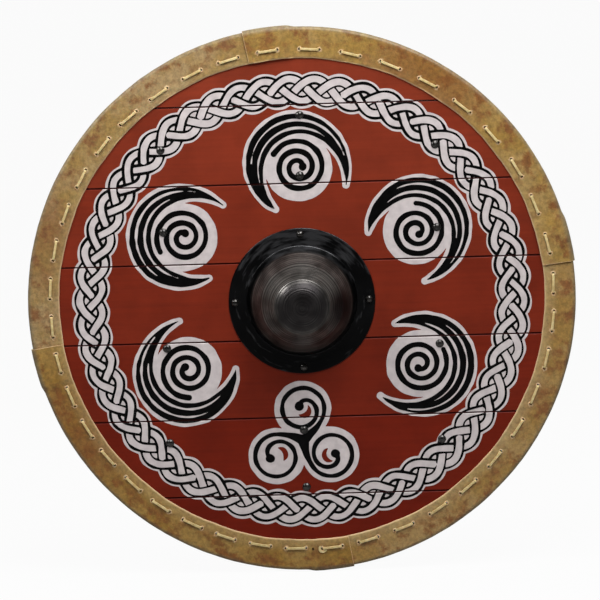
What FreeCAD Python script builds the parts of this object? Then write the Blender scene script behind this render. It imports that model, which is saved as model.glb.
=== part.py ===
# Round plank shield with a spun boss, a laced rawhide rim and a carved handle, in millimetres.
# It stands upright with its front towards -Y and +Z up, and its origin is the centre of the grip.
import FreeCAD, Part
import Sketcher
import math
import os
from FreeCAD import Placement, Rotation, Vector

# The driving dimensions. Angles are in degrees, clockwise from the top as seen from the front.
SIZES = {
    # board of seven planks
    "shield_diameter": 760,
    "plank_thickness": 10,
    "blank_margin": 1.85,
    "plank_gap": 0.7,
    "plank_chamfer": 1.2,
    "rim_round": 3,
    "hand_hole": 140,
    # rawhide folded over the rim
    "hide_thickness": 1.8,
    "hide_band": 43.5,
    "hide_fit": 0.3,
    "hide_ramp": 6,
    "hide_edge_round": 0.6,
    # running stitch of flat thong
    "stitch_inset": 12.5,
    "stitch_length": 29,
    "thong_width": 3.2,
    "thong_thickness": 1.4,
    "thong_tail": 8,
    "stitch_hole": 4,
    # boss
    "boss_flange": 203.4,
    "boss_foot": 151,
    "boss_shoulder": 138,
    "boss_cone": 110,
    "boss_knob": 74,
    "boss_cap": 44,
    "boss_height": 77,
    "boss_thickness": 1.6,
    "boss_foot_round": 3.5,
    "boss_shoulder_round": 4,
    "boss_cone_round": 45,
    "boss_knob_round": 5,
    "boss_cap_round": 38,
    "boss_rivet_circle": 185.6,
    # rivets and roves
    "rivet_head": 12,
    "rivet_dome": 3.4,
    "boss_rivet_head": 10.4,
    "boss_rivet_dome": 3.6,
    "rivet_shank": 4.2,
    "rivet_tail": 8,
    "rivet_tail_dome": 2,
    "rivet_fit": 0.2,
    "rivet_stray": 4,
    "rove_diameter": 14,
    "rove_thickness": 1.5,
    "rove_bevel": 0.5,
    # handle
    "grip_length": 120,
    "grip_width": 32,
    "grip_depth": 26,
    "grip_round": 9,
    "seat_length": 24,
    "seat_width": 36,
    "seat_depth": 14,
    "arm_slope": 34,
    "arm_width": 33,
    "arm_depth": 10,
    "arm_round": 3,
    "arm_front_round": 0.8,
    "arm_end_width": 26,
    "tip_length": 9,
    "tip_width": 13,
    "tip_depth": 6,
    "handle_end_gap": 36,
    # battens
    "batten_offset": 189.5,
    "batten_width": 36,
    "batten_depth": 8,
    "batten_end_round": 9,
    "batten_bevel": 1.6,
    "batten_end_gap": 4,
    # how far a cutter runs past what it cuts
    "overrun": 2,
}

# Planks from top to bottom, glued up to a blank a little wider than the shield.
PLANK_COUNT = 7

# Heights of the boss's turns, as shares of its whole height.
SHOULDER_SHARE = 0.221
CONE_SHARE = 0.532
KNOB_SHARE = 0.831

# Rivet places, as shares of the arm from the flange to the handle's end and of half a batten. The
# rivets were set by hand: those of the handle stray from its line by a share of rivet_stray.
HANDLE_RIVET_SHARES = (0.787, 0.366, -0.401, -0.807)
HANDLE_STRAY_SHARES = (0.9, 0.45, -0.65, -0.25)
LEFT_BATTEN_RIVET_SHARES = (0.826, 0.387, -0.237, -0.75)
RIGHT_BATTEN_RIVET_SHARES = (0.817, 0.375, -0.251, -0.769)

# The four lengths of rawhide between four seams: name, first and last seam, count of stitches.
FULL_TURN = 360
TOP_SEAM_ANGLE = -10.9
RIGHT_SEAM_ANGLE = 83.15
BOTTOM_SEAM_ANGLE = 170.55
LEFT_SEAM_ANGLE = 261.25
TOP_RIGHT_COUNT = 10
BOTTOM_RIGHT_COUNT = 10
BOTTOM_LEFT_COUNT = 11
TOP_LEFT_COUNT = 10
RIM_ORDER = (
    ("top_right", TOP_SEAM_ANGLE, RIGHT_SEAM_ANGLE, TOP_RIGHT_COUNT),
    ("bottom_right", RIGHT_SEAM_ANGLE, BOTTOM_SEAM_ANGLE, BOTTOM_RIGHT_COUNT),
    ("bottom_left", BOTTOM_SEAM_ANGLE, LEFT_SEAM_ANGLE, BOTTOM_LEFT_COUNT),
    ("top_left", LEFT_SEAM_ANGLE, TOP_SEAM_ANGLE + FULL_TURN, TOP_LEFT_COUNT),
)
ON_TOP = ("top_right", "bottom_left")

doc = FreeCAD.newDocument("round_shield")
sheet = doc.addObject("Spreadsheet::Sheet", "Sizes")
for row, (size_name, size_value) in enumerate(SIZES.items(), start=1):
    sheet.set(f"A{row}", size_name)
    sheet.set(f"B{row}", str(size_value))
    sheet.setAlias(f"B{row}", size_name)
doc.recompute()

# Sub-parts that are written out, in the order they are made.
nodes = []


def value(expression):
    return float(sheet.evalExpression(expression))


def sub_part(item, label):
    """Names a finished piece and sets it back from the grip's centre to the planks' rear face."""
    item.Label = label
    item.setExpression("Placement.Base.y", "-Sizes.grip_depth / 2")
    nodes.append(item)
    return item


def fix_corner(sketch, corner, place):
    """A construction point held by the two expressions of its corner."""
    point = sketch.addGeometry(Part.Point(place), True)
    for kind, axis, expression, length in (
        ("DistanceX", -2, corner[0], place.x),
        ("DistanceY", -1, corner[1], place.y),
    ):
        if expression == "0":
            sketch.addConstraint(Sketcher.Constraint("PointOnObject", point, 1, axis))
        else:
            held = sketch.addConstraint(Sketcher.Constraint(kind, -1, 1, point, 1, length))
            sketch.setExpression(f"Constraints[{held}]", expression)
    return point


def end_at(sketch, edge, place):
    """Which end of an edge, 1 or 2, lies at a place."""
    near_start = sketch.getPoint(edge, 1).distanceToPoint(place)
    near_end = sketch.getPoint(edge, 2).distanceToPoint(place)
    return 1 if near_start < near_end else 2


def draw_outline(sketch, corners, rounds=None, domes=None, closed=True):
    """Draws an outline through corners given as expressions.

    rounds gives the fillet radius of a corner, domes the radius of an edge that bulges to the
    right of its travel.
    """
    rounds = rounds or {}
    domes = domes or {}
    places = [Vector(value(x), value(y), 0) for x, y in corners]
    points = [fix_corner(sketch, corner, place) for corner, place in zip(corners, places)]
    count = len(places)
    leave = list(places)
    arrive = list(places)
    bends = {}
    for index, expression in rounds.items():
        corner = places[index]
        back = (places[index - 1] - corner).normalize()
        ahead = (places[(index + 1) % count] - corner).normalize()
        half_angle = back.getAngle(ahead) / 2
        radius = value(expression)
        arrive[index] = corner + back * (radius / math.tan(half_angle))
        leave[index] = corner + ahead * (radius / math.tan(half_angle))
        middle = corner + (back + ahead).normalize() * (radius / math.sin(half_angle) - radius)
        arc = Part.Arc(arrive[index], middle, leave[index])
        bends[index] = sketch.addGeometry(arc, False)
    edges = []
    for index in range(count if closed else count - 1):
        start = leave[index]
        stop = arrive[(index + 1) % count]
        if index in domes:
            radius = value(domes[index])
            half_chord = (stop - start).Length / 2
            rise = radius - math.sqrt(radius ** 2 - half_chord ** 2)
            along = (stop - start).normalize()
            top = (start + stop) / 2 + Vector(along.y, -along.x, 0) * rise
            edge = sketch.addGeometry(Part.Arc(start, top, stop), False)
            held = sketch.addConstraint(Sketcher.Constraint("Radius", edge, radius))
            sketch.setExpression(f"Constraints[{held}]", domes[index])
        else:
            edge = sketch.addGeometry(Part.LineSegment(start, stop), False)
        edges.append(edge)
    for index, point in enumerate(points):
        before = edges[index - 1] if closed or index > 0 else None
        after = edges[index] if index < len(edges) else None
        if index in bends:
            bend = bends[index]
            for edge, place in ((before, arrive[index]), (after, leave[index])):
                sketch.addConstraint(Sketcher.Constraint("PointOnObject", point, 1, edge))
                sketch.addConstraint(Sketcher.Constraint(
                    "Tangent", edge, end_at(sketch, edge, place), bend, end_at(sketch, bend, place)))
            held = sketch.addConstraint(Sketcher.Constraint("Radius", bend, value(rounds[index])))
            sketch.setExpression(f"Constraints[{held}]", rounds[index])
        else:
            for edge in (before, after):
                if edge is not None:
                    end = end_at(sketch, edge, places[index])
                    sketch.addConstraint(Sketcher.Constraint("Coincident", edge, end, point, 1))


def body_sketch(body, plane, name):
    """An empty sketch on one of a body's own origin planes."""
    sketch = body.newObject("Sketcher::SketchObject", name)
    support = [item for item in body.Origin.OriginFeatures if item.Role == plane][0]
    sketch.AttachmentSupport = [(support, "")]
    sketch.MapMode = "FlatFace"
    return sketch


def turned_body(name, corners, domes=None, rounds=None):
    """A body of revolution about Y: each corner is a radius and a depth."""
    body = doc.addObject("PartDesign::Body", name)
    sketch = body_sketch(body, "XY_Plane", name + "_profile")
    draw_outline(sketch, corners, rounds, domes)
    turn = body.newObject("PartDesign::Revolution", name + "_turn")
    turn.Profile = sketch
    turn.ReferenceAxis = (sketch, ["V_Axis"])
    turn.Angle = FULL_TURN
    doc.recompute()
    return body


def repeated(name, source, places):
    """A compound of links to one piece, at places given as expressions of X and Z."""
    links = []
    for number, (across, up) in enumerate(places, start=1):
        link = doc.addObject("App::Link", f"{name}_{number}")
        link.LinkedObject = source
        link.LinkTransform = True
        link.setExpression("Placement.Base.x", across)
        link.setExpression("Placement.Base.z", up)
        links.append(link)
    group = doc.addObject("Part::Compound", name)
    group.Links = links
    return group


def drill(name, radius, rear):
    """A round cutter along Y, from in front of the boss flange to a depth behind the planks."""
    tool = doc.addObject("Part::Cylinder", name)
    tool.setExpression("Radius", radius)
    front = "(Sizes.plank_thickness + Sizes.boss_thickness + Sizes.overrun)"
    tool.setExpression("Height", f"{front} + {rear} + Sizes.overrun")
    tool.Placement = Placement(Vector(0, 0, 0), Rotation(Vector(1, 0, 0), -90))
    tool.setExpression("Placement.Base.y", f"-{front}")
    return tool


def cut(name, base, tool):
    result = doc.addObject("Part::Cut", name)
    result.Base = base
    result.Tool = tool
    return result


# Places of the rivets, in X and Z from the middle of the shield.
handle_half = "(Sizes.shield_diameter / 2 - Sizes.hide_band - Sizes.handle_end_gap)"
arm_start = "(Sizes.boss_flange / 2)"
handle_rivet_places = []
for share, stray_share in zip(HANDLE_RIVET_SHARES, HANDLE_STRAY_SHARES):
    side = "" if share > 0 else "-"
    height = f"{side}({arm_start} + ({handle_half} - {arm_start}) * {abs(share)})"
    handle_rivet_places.append((f"Sizes.rivet_stray * {stray_share}", height))

batten_corner = "(Sizes.batten_offset + Sizes.batten_width / 2)"
batten_reach = "(Sizes.shield_diameter / 2 - Sizes.hide_band - Sizes.batten_end_gap)"
batten_half = f"sqrt({batten_reach} ^ 2 - {batten_corner} ^ 2)"
batten_rivet_places = []
for side, shares in (("-", LEFT_BATTEN_RIVET_SHARES), ("", RIGHT_BATTEN_RIVET_SHARES)):
    for share in shares:
        batten_rivet_places.append((f"{side}Sizes.batten_offset", f"{batten_half} * {share}"))

boss_side_places = [("-Sizes.boss_rivet_circle / 2", "0"), ("Sizes.boss_rivet_circle / 2", "0")]
boss_handle_places = [("0", "Sizes.boss_rivet_circle / 2"), ("0", "-Sizes.boss_rivet_circle / 2")]

# Drills for the rivets, through everything that each row of them holds.
rivet_hole = "(Sizes.rivet_shank + Sizes.rivet_fit) / 2"
rivet_drill = drill("rivet_drill", rivet_hole, "Sizes.grip_depth")
every_place = handle_rivet_places + batten_rivet_places + boss_side_places + boss_handle_places
rivet_drills = repeated("rivet_drills", rivet_drill, every_place)

# The rim's seams and stitches, worked out round the circle that the stitches follow.
board_radius = value("Sizes.shield_diameter / 2 - Sizes.hide_thickness - Sizes.hide_fit")
stitch_radius = value("Sizes.shield_diameter / 2 - Sizes.hide_band + Sizes.stitch_inset")
hide = value("Sizes.hide_thickness")
lift_out = hide + value("Sizes.hide_fit")
slack_angle = math.degrees(value("Sizes.hide_fit") / board_radius)
ramp_angle = math.degrees(value("Sizes.hide_ramp") / board_radius)
thong = value("Sizes.thong_thickness")
front_half = value("(Sizes.stitch_length - Sizes.thong_thickness) / 2")
front_half_angle = math.degrees(math.atan(front_half / stitch_radius))
overrun = value("Sizes.overrun")
planks = value("Sizes.plank_thickness")


def spin(angle):
    """The turn about Y that takes the right-hand side of the shield to an angle from the top."""
    return Rotation(Vector(0, 1, 0), angle - FULL_TURN / 4)


def stitch_step(name, first, last, count):
    """The angle from one front stitch to the next along one length of rawhide."""
    return (last - first) / count


def stitch_angles(name, first, last, count):
    """The middle of each front stitch of one length of rawhide."""
    step = stitch_step(name, first, last, count)
    return [first + step * (number + 0.5) for number in range(count)]


def lap_angle(length):
    """How far a length reaches over its neighbours: to just before the middle of a rear stitch."""
    return stitch_step(*length) - ramp_angle / 2 - slack_angle


def stitch_cutters(name, make_tool):
    """A cutter at both ends of every front stitch."""
    reach = stitch_radius / math.cos(math.radians(front_half_angle))
    tools = []
    for length in RIM_ORDER:
        for middle in stitch_angles(*length):
            for angle in (middle - front_half_angle, middle + front_half_angle):
                tool = make_tool()
                turn = spin(angle)
                tool.Placement = Placement(turn.multVec(Vector(reach, 0, 0)), turn)
                tools.append(tool)
    group = doc.addObject("Part::Feature", name)
    group.Shape = Part.makeCompound(tools)
    return group


def plank_drill():
    """A round hole through the wood alone."""
    depth = planks + overrun * 2
    start = Vector(0, -planks - overrun, 0)
    return Part.makeCylinder(value("Sizes.stitch_hole") / 2, depth, start, Vector(0, 1, 0))


def hide_punch():
    """A square hole through every layer of hide, made with a square awl."""
    side = value("Sizes.stitch_hole")
    depth = planks + (hide * 2 + overrun) * 2
    corner = Vector(-side / 2, -planks - hide * 2 - overrun, -side / 2)
    return Part.makeBox(side, depth, side, corner)


plank_stitch_holes = stitch_cutters("plank_stitch_holes", plank_drill)
hide_stitch_holes = stitch_cutters("hide_stitch_holes", hide_punch)

# The round board that the planks are sawn to, with a softened edge.
plank_pitch = f"((Sizes.shield_diameter + Sizes.blank_margin * 2) / {PLANK_COUNT})"
board = turned_body(
    "board_blank",
    [
        ("0", "-Sizes.plank_thickness"),
        ("Sizes.shield_diameter / 2 - Sizes.hide_thickness - Sizes.hide_fit", "-Sizes.plank_thickness"),
        ("Sizes.shield_diameter / 2 - Sizes.hide_thickness - Sizes.hide_fit", "0"),
        ("0", "0"),
    ],
    rounds={1: "Sizes.rim_round", 2: "Sizes.rim_round"},
)
hand_hole = drill("hand_hole_cutter", "Sizes.hand_hole / 2", "0")


def plank_stock(name, lower, upper):
    """A plank's section, with its two front edges chamfered, drawn out across the board."""
    sketch = doc.addObject("Sketcher::SketchObject", name + "_section")
    sketch.Placement.Rotation = Rotation(Vector(0, 1, 0), Vector(0, 0, 1), Vector(1, 0, 0))
    draw_outline(sketch, [
        ("0", lower),
        ("0", upper),
        ("-Sizes.plank_thickness + Sizes.plank_chamfer", upper),
        ("-Sizes.plank_thickness", f"{upper} - Sizes.plank_chamfer"),
        ("-Sizes.plank_thickness", f"{lower} + Sizes.plank_chamfer"),
        ("-Sizes.plank_thickness + Sizes.plank_chamfer", lower),
    ])
    stock = doc.addObject("Part::Extrusion", name + "_stock")
    stock.Base = sketch
    stock.DirMode = "Custom"
    stock.Dir = Vector(1, 0, 0)
    stock.setExpression("LengthFwd", "Sizes.shield_diameter")
    stock.Symmetric = True
    stock.Solid = True
    return stock


def drilled(name, piece):
    """Takes the rivet holes and the stitch holes out of a piece of the board."""
    riveted = cut(name + "_riveted", piece, rivet_drills)
    return cut(name, riveted, plank_stitch_holes)


def make_planks():
    """Seven planks from the bottom up, the middle one in two pieces beside the hand hole."""
    for number in range(1, PLANK_COUNT + 1):
        name = f"plank_{number}"
        rows = 4 - number
        lower = f"{plank_pitch} * {rows - 0.5} + Sizes.plank_gap / 2"
        upper = f"{plank_pitch} * {rows + 0.5} - Sizes.plank_gap / 2"
        if number == 1:
            upper = "Sizes.shield_diameter / 2"
        if number == 7:
            lower = "-Sizes.shield_diameter / 2"
        sawn = doc.addObject("Part::Common", name + "_sawn")
        sawn.Base = plank_stock(name, lower, upper)
        sawn.Tool = board
        if number != 4:
            holed = cut(name + "_holed", sawn, hand_hole) if number in (3, 5) else sawn
            sub_part(drilled(name, holed), name)
            continue
        for hand, offset in (("left", "-Sizes.shield_diameter"), ("right", "0")):
            half = doc.addObject("Part::Box", f"{name}_{hand}_side")
            half.setExpression("Length", "Sizes.shield_diameter")
            half.setExpression("Width", "Sizes.plank_thickness")
            half.setExpression("Height", plank_pitch)
            half.setExpression("Placement.Base.x", offset)
            half.setExpression("Placement.Base.y", "-Sizes.plank_thickness")
            half.setExpression("Placement.Base.z", f"-{plank_pitch} / 2")
            side = doc.addObject("Part::Common", f"{name}_{hand}_half")
            side.Base = sawn
            side.Tool = half
            holed = cut(f"{name}_{hand}_holed", side, hand_hole)
            sub_part(drilled(f"{name}_{hand}", holed), f"{name}_{hand}")


make_planks()


def make_boss():
    """The spun steel boss: a line from the flange to the crown, thickened and turned about Y."""
    line = doc.addObject("Sketcher::SketchObject", "boss_line")
    front = "-Sizes.plank_thickness"
    draw_outline(
        line,
        [
            ("Sizes.boss_flange / 2", front),
            ("Sizes.boss_foot / 2", front),
            ("Sizes.boss_shoulder / 2", f"{front} - Sizes.boss_height * {SHOULDER_SHARE}"),
            ("Sizes.boss_cone / 2", f"{front} - Sizes.boss_height * {CONE_SHARE}"),
            ("Sizes.boss_knob / 2", f"{front} - Sizes.boss_height * {KNOB_SHARE}"),
            ("Sizes.boss_cap / 2", f"{front} - Sizes.boss_height"),
            ("0", f"{front} - Sizes.boss_height"),
        ],
        rounds={
            1: "Sizes.boss_foot_round",
            2: "Sizes.boss_shoulder_round",
            3: "Sizes.boss_cone_round",
            4: "Sizes.boss_knob_round",
            5: "Sizes.boss_cap_round",
        },
        closed=False,
    )
    wall = doc.addObject("Part::Offset2D", "boss_wall")
    wall.Source = line
    wall.Mode = "Skin"
    wall.Join = "Intersection"
    wall.Fill = True
    wall.setExpression("Value", "-Sizes.boss_thickness")
    spun = doc.addObject("Part::Revolution", "boss_spun")
    spun.Source = wall
    spun.Axis = Vector(0, 1, 0)
    spun.Angle = FULL_TURN
    spun.Solid = True
    sub_part(cut("boss", spun, rivet_drills), "boss")


make_boss()


def station(body, name, height, width, depth, front_round, back_round):
    """One cross-section of the handle: flat at the front, where it lies on the planks."""
    sketch = body_sketch(body, "XY_Plane", name)
    sketch.setExpression("AttachmentOffset.Base.z", height)
    draw_outline(
        sketch,
        [
            (f"-{width} / 2", "0"),
            (f"{width} / 2", "0"),
            (f"{width} / 2", depth),
            (f"-{width} / 2", depth),
        ],
        rounds={0: front_round, 1: front_round, 2: back_round, 3: back_round},
    )
    return sketch


def make_handle():
    """The carved handle: a deep rounded grip, flat seats for the boss rivets, thin tapered arms."""
    seat_middle = "Sizes.boss_rivet_circle / 2"
    seat_end = f"({seat_middle} + Sizes.seat_length / 2)"
    arm = "Sizes.arm_round"
    edge = "Sizes.arm_front_round"
    half = [
        ("Sizes.grip_length / 2", "Sizes.grip_width", "Sizes.grip_depth",
         "Sizes.grip_round", "Sizes.grip_round"),
        (f"({seat_middle} - Sizes.seat_length / 2)", "Sizes.seat_width", "Sizes.seat_depth", edge, arm),
        (seat_end, "Sizes.seat_width", "Sizes.seat_depth", edge, arm),
        (f"({seat_end} + Sizes.arm_slope)", "Sizes.arm_width", "Sizes.arm_depth", edge, arm),
        (f"({handle_half} - Sizes.tip_length)", "Sizes.arm_end_width", "Sizes.arm_depth", edge, arm),
        (handle_half, "Sizes.tip_width", "Sizes.tip_depth", edge, arm),
    ]
    body = doc.addObject("PartDesign::Body", "handle_blank")
    sections = []
    for side, row in (("-", half[::-1]), ("", half)):
        for height, width, depth, front_round, back_round in row:
            name = f"handle_section_{len(sections) + 1}"
            sections.append(station(body, name, side + height, width, depth, front_round, back_round))
    loft = body.newObject("PartDesign::AdditiveLoft", "handle_loft")
    loft.Profile = sections[0]
    loft.Sections = sections[1:]
    loft.Ruled = True
    drills = repeated("handle_drills", rivet_drill, handle_rivet_places + boss_handle_places)
    doc.recompute()
    handle = doc.addObject("Part::Feature", "handle")
    handle.Shape = body.Shape.cut(drills.Shape)
    sub_part(handle, "handle")


make_handle()


def rear_face(shape):
    """The name of a shape's rearmost flat face."""
    depths = [face.CenterOfMass.y for face in shape.Faces]
    return f"Face{depths.index(max(depths)) + 1}"


def make_batten(hand, side):
    """A batten across the plank joints, with rounded ends and bevelled rear edges."""
    body = doc.addObject("PartDesign::Body", f"batten_{hand}_blank")
    sketch = body_sketch(body, "XZ_Plane", f"batten_{hand}_outline")
    inner = f"{side}Sizes.batten_offset - Sizes.batten_width / 2"
    outer = f"{side}Sizes.batten_offset + Sizes.batten_width / 2"
    draw_outline(
        sketch,
        [
            (inner, f"-{batten_half}"),
            (outer, f"-{batten_half}"),
            (outer, batten_half),
            (inner, batten_half),
        ],
        rounds={index: "Sizes.batten_end_round" for index in range(4)},
    )
    pad = body.newObject("PartDesign::Pad", f"batten_{hand}_pad")
    pad.Profile = sketch
    pad.setExpression("Length", "Sizes.batten_depth")
    pad.Reversed = True
    doc.recompute()
    bevel = body.newObject("PartDesign::Chamfer", f"batten_{hand}_bevel")
    bevel.Base = (pad, [rear_face(pad.Shape)])
    bevel.setExpression("Size", "Sizes.batten_bevel")
    doc.recompute()
    sub_part(cut(f"batten_{hand}", body, rivet_drills), f"batten_{hand}")


make_batten("left", "-")
make_batten("right", "")


def rivet(name, head, dome, seat, rear):
    """A domed rivet: head on its seat at the front, tail peened over a rove at the rear."""
    tail = f"{rear} + Sizes.rove_thickness"
    return turned_body(
        name,
        [
            ("0", f"-{seat} - {dome}"),
            (f"{head} / 2", f"-{seat}"),
            ("Sizes.rivet_shank / 2", f"-{seat}"),
            ("Sizes.rivet_shank / 2", tail),
            ("Sizes.rivet_tail / 2", tail),
            ("0", f"{tail} + Sizes.rivet_tail_dome"),
        ],
        domes={
            0: f"(({head} / 2) ^ 2 + {dome} ^ 2) / (2 * {dome})",
            4: "((Sizes.rivet_tail / 2) ^ 2 + Sizes.rivet_tail_dome ^ 2) / (2 * Sizes.rivet_tail_dome)",
        },
    )


def rove(name, rear):
    """A round washer under a rivet's tail, with a bevelled rear edge."""
    back = f"{rear} + Sizes.rove_thickness"
    return turned_body(name, [
        (rivet_hole, rear),
        ("Sizes.rove_diameter / 2", rear),
        ("Sizes.rove_diameter / 2", f"{back} - Sizes.rove_bevel"),
        ("Sizes.rove_diameter / 2 - Sizes.rove_bevel", back),
        (rivet_hole, back),
    ])


board_seat = "Sizes.plank_thickness"
flange_seat = "(Sizes.plank_thickness + Sizes.boss_thickness)"
large = ("Sizes.rivet_head", "Sizes.rivet_dome")
small = ("Sizes.boss_rivet_head", "Sizes.boss_rivet_dome")
RIVET_ROWS = (
    ("batten", large, board_seat, "Sizes.batten_depth", batten_rivet_places),
    ("handle", large, board_seat, "Sizes.arm_depth", handle_rivet_places),
    ("boss_side", small, flange_seat, "0 * Sizes.seat_depth", boss_side_places),
    ("boss_handle", small, flange_seat, "Sizes.seat_depth", boss_handle_places),
)
for row_name, (head, dome), seat, rear, places in RIVET_ROWS:
    one_rivet = rivet(f"{row_name}_rivet", head, dome, seat, rear)
    one_rove = rove(f"{row_name}_rove", rear)
    sub_part(repeated(f"{row_name}_rivets", one_rivet, places), f"{row_name}_rivets")
    sub_part(repeated(f"{row_name}_roves", one_rove, places), f"{row_name}_roves")


def rounded_wire(places, radii):
    """A closed flat wire through places, each corner rounded by its radius where that isn't zero."""
    edges = []
    count = len(places)
    leave = []
    arrive = []
    for index, corner in enumerate(places):
        back = (places[index - 1] - corner).normalize()
        ahead = (places[(index + 1) % count] - corner).normalize()
        half_angle = back.getAngle(ahead) / 2
        trim = radii[index] / math.tan(half_angle)
        arrive.append(corner + back * trim)
        leave.append(corner + ahead * trim)
        if radii[index]:
            sweep = radii[index] / math.sin(half_angle) - radii[index]
            middle = corner + (back + ahead).normalize() * sweep
            edges.append((index, Part.Arc(arrive[index], middle, leave[index]).toShape()))
    for index in range(count):
        stop = arrive[(index + 1) % count]
        edges.append((index + 0.5, Part.LineSegment(leave[index], stop).toShape()))
    return Part.Wire([edge for order, edge in sorted(edges, key=lambda item: item[0])])


def hide_section(raised, angle):
    """The U of rawhide round the board's edge, raised where it lies over another length."""
    out = lift_out if raised else 0
    up = hide if raised else 0
    inner_edge = value("Sizes.shield_diameter / 2 - Sizes.hide_band")
    inner = board_radius + value("Sizes.hide_fit") + out
    outer = inner + hide
    front = -planks - up
    rear = up
    bend = value("Sizes.rim_round") + out
    lip = value("Sizes.hide_edge_round")
    places = [
        Vector(inner_edge, front - hide, 0),
        Vector(outer, front - hide, 0),
        Vector(outer, rear + hide, 0),
        Vector(inner_edge, rear + hide, 0),
        Vector(inner_edge, rear, 0),
        Vector(inner, rear, 0),
        Vector(inner, front, 0),
        Vector(inner_edge, front, 0),
    ]
    wire = rounded_wire(places, [lip, bend + hide, bend + hide, lip, 0, bend, bend, 0])
    wire.Placement = Placement(Vector(0, 0, 0), spin(angle))
    return wire


def swept(raised, first, last):
    """The skin of rawhide of one level between two angles."""
    section = hide_section(raised, first)
    return section.revolve(Vector(0, 0, 0), Vector(0, 1, 0), last - first).Faces


def ramp(first_raised, first, last):
    """The skin of the jog from one level to the other."""
    ends = [hide_section(first_raised, first), hide_section(not first_raised, last)]
    return Part.makeLoft(ends, False, True).Faces


def hide_length(number):
    """One length of rawhide, jogged up at both ends where it lies over its neighbours."""
    name, first, last, count = RIM_ORDER[number]
    on_top = name in ON_TOP
    if on_top:
        lap = lap_angle(RIM_ORDER[number])
        up_end = first + lap + slack_angle
        up_start = last - lap - slack_angle
        faces = swept(True, first, up_end)
        faces += ramp(True, up_end, up_end + ramp_angle)
        faces += swept(False, up_end + ramp_angle, up_start - ramp_angle)
        faces += ramp(False, up_start - ramp_angle, up_start)
        faces += swept(True, up_start, last)
    else:
        first -= lap_angle(RIM_ORDER[number - 1])
        last += lap_angle(RIM_ORDER[(number + 1) % len(RIM_ORDER)])
        faces = swept(False, first, last)
    ends = [Part.Face(hide_section(on_top, angle)) for angle in (first, last)]
    skin = Part.makeShell(faces + ends)
    skin.sewShape()
    solid = Part.makeSolid(skin)
    return solid if solid.Volume > 0 else solid.reversed()


def make_rim():
    for number, length in enumerate(RIM_ORDER):
        name = length[0]
        blank = doc.addObject("Part::Feature", f"rim_{name}_blank")
        blank.Shape = hide_length(number)
        sub_part(cut(f"rim_{name}", blank, hide_stitch_holes), f"rim_{name}")


make_rim()


def staple(levels, middle, rear):
    """A flat thong bent over both ends of a stitch, from its path along the hide.

    levels are the path's points, as a distance along the stitch and a height of the hide, and the
    legs go down to the middle of the planks.
    """
    sign = 1 if rear else -1
    hide_top = hide if rear else -planks - hide
    centre = -planks / 2
    inner = [(along, hide_top + sign * height) for along, height in levels]
    outline = [(inner[0][0] + thong / 2, centre), (inner[0][0] + thong / 2, inner[0][1])]
    outline += inner[1:-1]
    outline += [(inner[-1][0] - thong / 2, inner[-1][1]), (inner[-1][0] - thong / 2, centre)]
    outline += [(inner[-1][0] + thong / 2, centre), (inner[-1][0] + thong / 2, inner[-1][1] + sign * thong)]
    outline += [(along, depth + sign * thong) for along, depth in inner[-2:0:-1]]
    outline += [(inner[0][0] - thong / 2, inner[0][1] + sign * thong), (inner[0][0] - thong / 2, centre)]
    width = value("Sizes.thong_width")
    wire = Part.makePolygon([Vector(stitch_radius - width / 2, depth, -along) for along, depth in
                             outline + outline[:1]])
    solid = Part.Face(wire).extrude(Vector(width, 0, 0))
    solid.Placement = Placement(Vector(0, 0, 0), spin(middle))
    return solid


def tail(angle, height, direction):
    """The end of a thong: up through its hole and flat along the rear of the hide."""
    width = value("Sizes.thong_width")
    start = front_half
    stop = front_half + value("Sizes.thong_tail")
    centre = -planks / 2
    top = hide + height
    outline = [
        (start - thong / 2, centre),
        (start - thong / 2, top + thong),
        (stop, top + thong),
        (stop, top),
        (start + thong / 2, top),
        (start + thong / 2, centre),
    ]
    wire = Part.makePolygon([Vector(stitch_radius - width / 2, depth, -along * direction)
                             for along, depth in outline + outline[:1]])
    solid = Part.Face(wire).extrude(Vector(width, 0, 0))
    solid.Placement = Placement(Vector(0, 0, 0), spin(angle))
    return solid


def make_lace(length):
    """The running stitch of one length of rawhide, as one thong."""
    name, first, last, count = length
    middles = stitch_angles(*length)
    step = stitch_step(*length)
    raised = hide if name in ON_TOP else 0
    heights = [raised if number in (0, count - 1) else 0 for number in range(count)]
    pieces = []
    for middle, height in zip(middles, heights):
        pieces.append(staple([(-front_half, height), (front_half, height)], middle, False))
    rear_half = stitch_radius * math.tan(math.radians(step / 2 - front_half_angle))
    for number in range(count - 1):
        middle = middles[number] + step / 2
        left, right = heights[number], heights[number + 1]
        path = [(-rear_half, left), (rear_half, right)]
        if left != right:
            jog = (slack_angle - ramp_angle / 2, slack_angle + ramp_angle / 2)
            along = [stitch_radius * math.tan(math.radians(angle)) for angle in jog]
            bends = [(along[0], hide), (along[1], 0)]
            if right > left:
                bends = [(-along[1], 0), (-along[0], hide)]
            path[1:1] = bends
        pieces.append(staple(path, middle, True))
    pieces.append(tail(middles[0], heights[0], -1))
    pieces.append(tail(middles[-1], heights[-1], 1))
    thong_solid = pieces[0].multiFuse(pieces[1:]).removeSplitter()
    lace = doc.addObject("Part::Feature", f"lace_{name}")
    lace.Shape = thong_solid
    return sub_part(lace, f"lace_{name}")


for rim_length in RIM_ORDER:
    make_lace(rim_length)

doc.recompute()

for item in doc.Objects:
    if "Invalid" in item.State or "Error" in item.State:
        raise RuntimeError(f"{item.Name} failed: {item.State}")
for item in nodes:
    if item.Shape.isNull() or not item.Shape.isValid():
        raise RuntimeError(f"{item.Label} has no valid shape")
    if not item.Shape.Solids:
        raise RuntimeError(f"{item.Label} has no solid")

os.makedirs("parts", exist_ok=True)
for item in nodes:
    item.Shape.exportStep(f"parts/{item.Label}.step")
    print(item.Label, len(item.Shape.Solids), round(item.Shape.Volume))
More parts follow.
